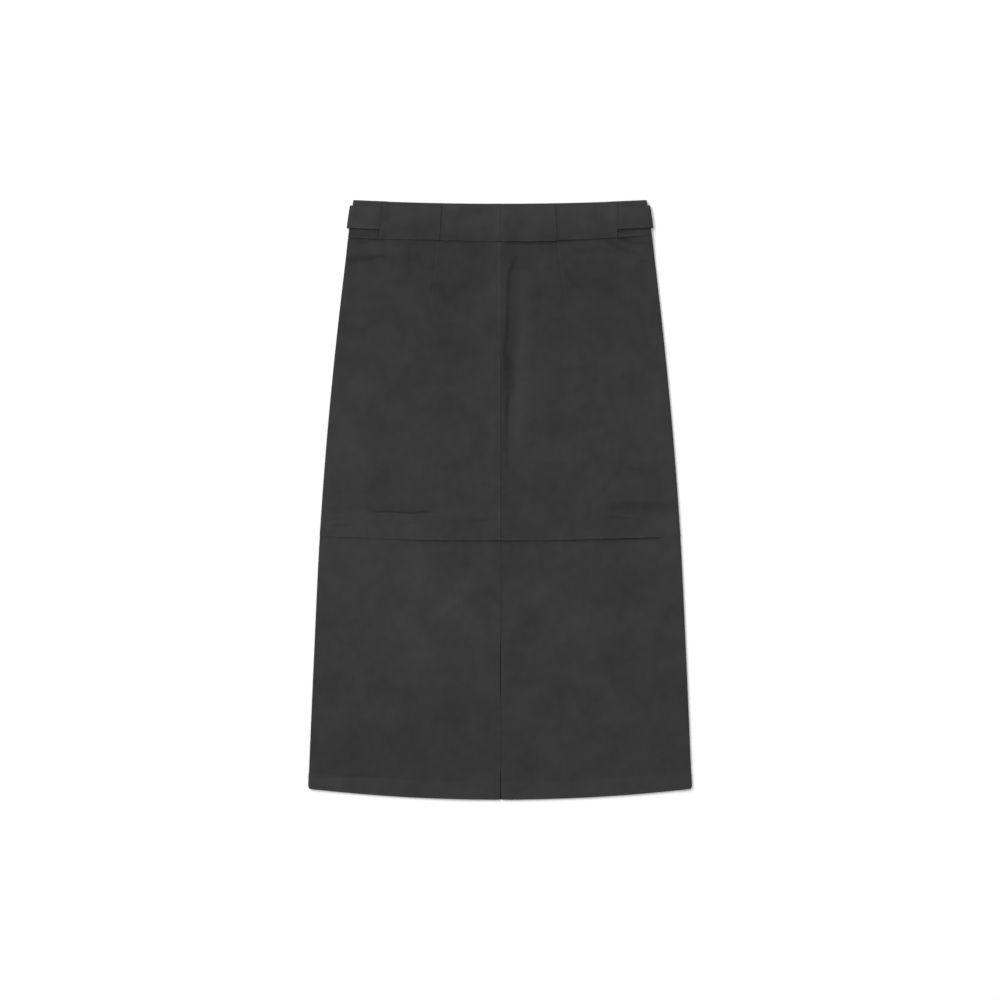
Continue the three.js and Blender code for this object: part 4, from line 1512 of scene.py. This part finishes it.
def thread_material():
    """Matt spun thread in the cloth's colour, a little paler where it has rubbed."""
    material, tree = new_material("charcoal_thread")
    place = add_node(tree, "ShaderNodeTexCoord").outputs["Object"]
    worn = add_node(tree, "ShaderNodeTexNoise", {"Vector": place, "Scale": 60.0, "Detail": 2.0})
    worn = worn.outputs["Fac"]
    grey = calculate(tree, "MULTIPLY_ADD", worn, 0.6 * THREAD_GREY, 0.7 * THREAD_GREY)
    colour = add_node(tree, "ShaderNodeCombineXYZ", {"X": grey, "Y": grey, "Z": grey})
    shader = add_node(tree, "ShaderNodeBsdfPrincipled", {
        "Base Color": colour.outputs["Vector"],
        "Roughness": 0.8,
        "Specular IOR Level": 0.2,
    })
    add_node(tree, "ShaderNodeOutputMaterial", {"Surface": shader.outputs["BSDF"]})
    return material


# %% Make the topstitching
STITCH_PITCH = 3.2
STITCH_LENGTH = 2.7
THREAD_RADIUS = 0.22


def paths_object(name, paths):
    """All paths as one mesh of edges, with the facing of each point as an attribute."""
    counts = [len(points) for points, _ in paths]
    starts = np.cumsum([0] + counts[:-1])
    edges = [(s + i, s + i + 1) for s, count in zip(starts, counts) for i in range(count - 1)]
    mesh = bpy.data.meshes.new(name)
    points = np.concatenate([points for points, _ in paths]) * MM
    mesh.from_pydata(points.tolist(), edges, [])
    facing = mesh.attributes.new("facing", "FLOAT_VECTOR", "POINT")
    facing.data.foreach_set("vector", np.concatenate([f for _, f in paths]).ravel())
    return add_object(name, mesh)


def make_stitches(name, paths):
    lines = paths_object(name, paths)
    tree, sockets = stitch_tree()
    modifier = lines.modifiers.new("stitches", "NODES")
    modifier.node_group = tree
    modifier[sockets["Pitch"]] = STITCH_PITCH * MM
    modifier[sockets["Length"]] = STITCH_LENGTH * MM
    modifier[sockets["Radius"]] = THREAD_RADIUS * MM
    modifier[sockets["Seed"]] = 7
    modifier[sockets["Thread"]] = thread_material()
    evaluated = lines.evaluated_get(bpy.context.evaluated_depsgraph_get())
    lines.data = bpy.data.meshes.new_from_object(evaluated)
    lines.modifiers.clear()
    return lines


topstitching = make_stitches("topstitching", stitch_paths)
topstitching.data.calc_loop_triangles()
print("triangles in the topstitching:", len(topstitching.data.loop_triangles))

# %% [markdown]
# Each shell stands for the solid of the imported model with the same name and is a sheet of cloth.
# That solid is hidden, and the shell is attached to the root.


for piece in cloth_pieces:
    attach(piece, "root")
    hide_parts(piece.name.removesuffix("_cloth"))

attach(topstitching, "root")

# %% [markdown]
# ## Studio
# The photograph was taken from straight above, with soft light from the top left and a white
# ground. A bright even sky and one large softbox each give about half of the light, and the
# softbox gives it a direction.

# %% Floor, light and camera
CAMERA_HEIGHT = 2.442  # with the 70 mm lens the picture is 1.256 m wide on the table
LENS = 70
SENSOR = 36
FLOOR_SIZE = 8.0
FLOOR_Z = -0.0004  # just under the ends of the lowest stitches
SKY_STRENGTH = 0.62
SOFTBOX_PLACE = (-2.3, 2.1, 4.2)
SOFTBOX_SIZE = 3.2
SOFTBOX_POWER = 210


def make_floor():
    mesh = bpy.data.meshes.new("floor")
    r = FLOOR_SIZE / 2
    corners = [(-r, -r, FLOOR_Z), (r, -r, FLOOR_Z), (r, r, FLOOR_Z), (-r, r, FLOOR_Z)]
    mesh.from_pydata(corners, [], [(0, 1, 2, 3)])
    paper = bpy.data.materials.new("white_paper")
    paper.use_nodes = True
    shader = paper.node_tree.nodes["Principled BSDF"]
    shader.inputs["Base Color"].default_value = (0.97, 0.97, 0.97, 1)
    shader.inputs["Roughness"].default_value = 0.9
    shader.inputs["Specular IOR Level"].default_value = 0.1
    mesh.materials.append(paper)
    return add_object("floor", mesh)


def make_softbox(name, place, size, power):
    light = bpy.data.lights.new(name, "AREA")
    light.shape = "SQUARE"
    light.size = size
    light.energy = power
    lamp = add_object(name, light)
    lamp.location = place
    lamp.rotation_euler = (-lamp.location).to_track_quat("-Z", "Y").to_euler()


def make_sky(strength):
    world = bpy.data.worlds.new("studio")
    world.use_nodes = True
    sky = world.node_tree.nodes["Background"]
    sky.inputs["Color"].default_value = (1, 1, 1, 1)
    sky.inputs["Strength"].default_value = strength
    bpy.context.scene.world = world


def make_camera():
    lens = bpy.data.cameras.new("camera")
    lens.lens = LENS
    lens.sensor_width = SENSOR
    camera = add_object("camera", lens)
    camera.location = (0, 0, CAMERA_HEIGHT)
    bpy.context.scene.camera = camera


make_floor()
make_sky(SKY_STRENGTH)
make_softbox("softbox", SOFTBOX_PLACE, SOFTBOX_SIZE, SOFTBOX_POWER)
make_camera()
bpy.context.scene.view_settings.view_transform = "Standard"
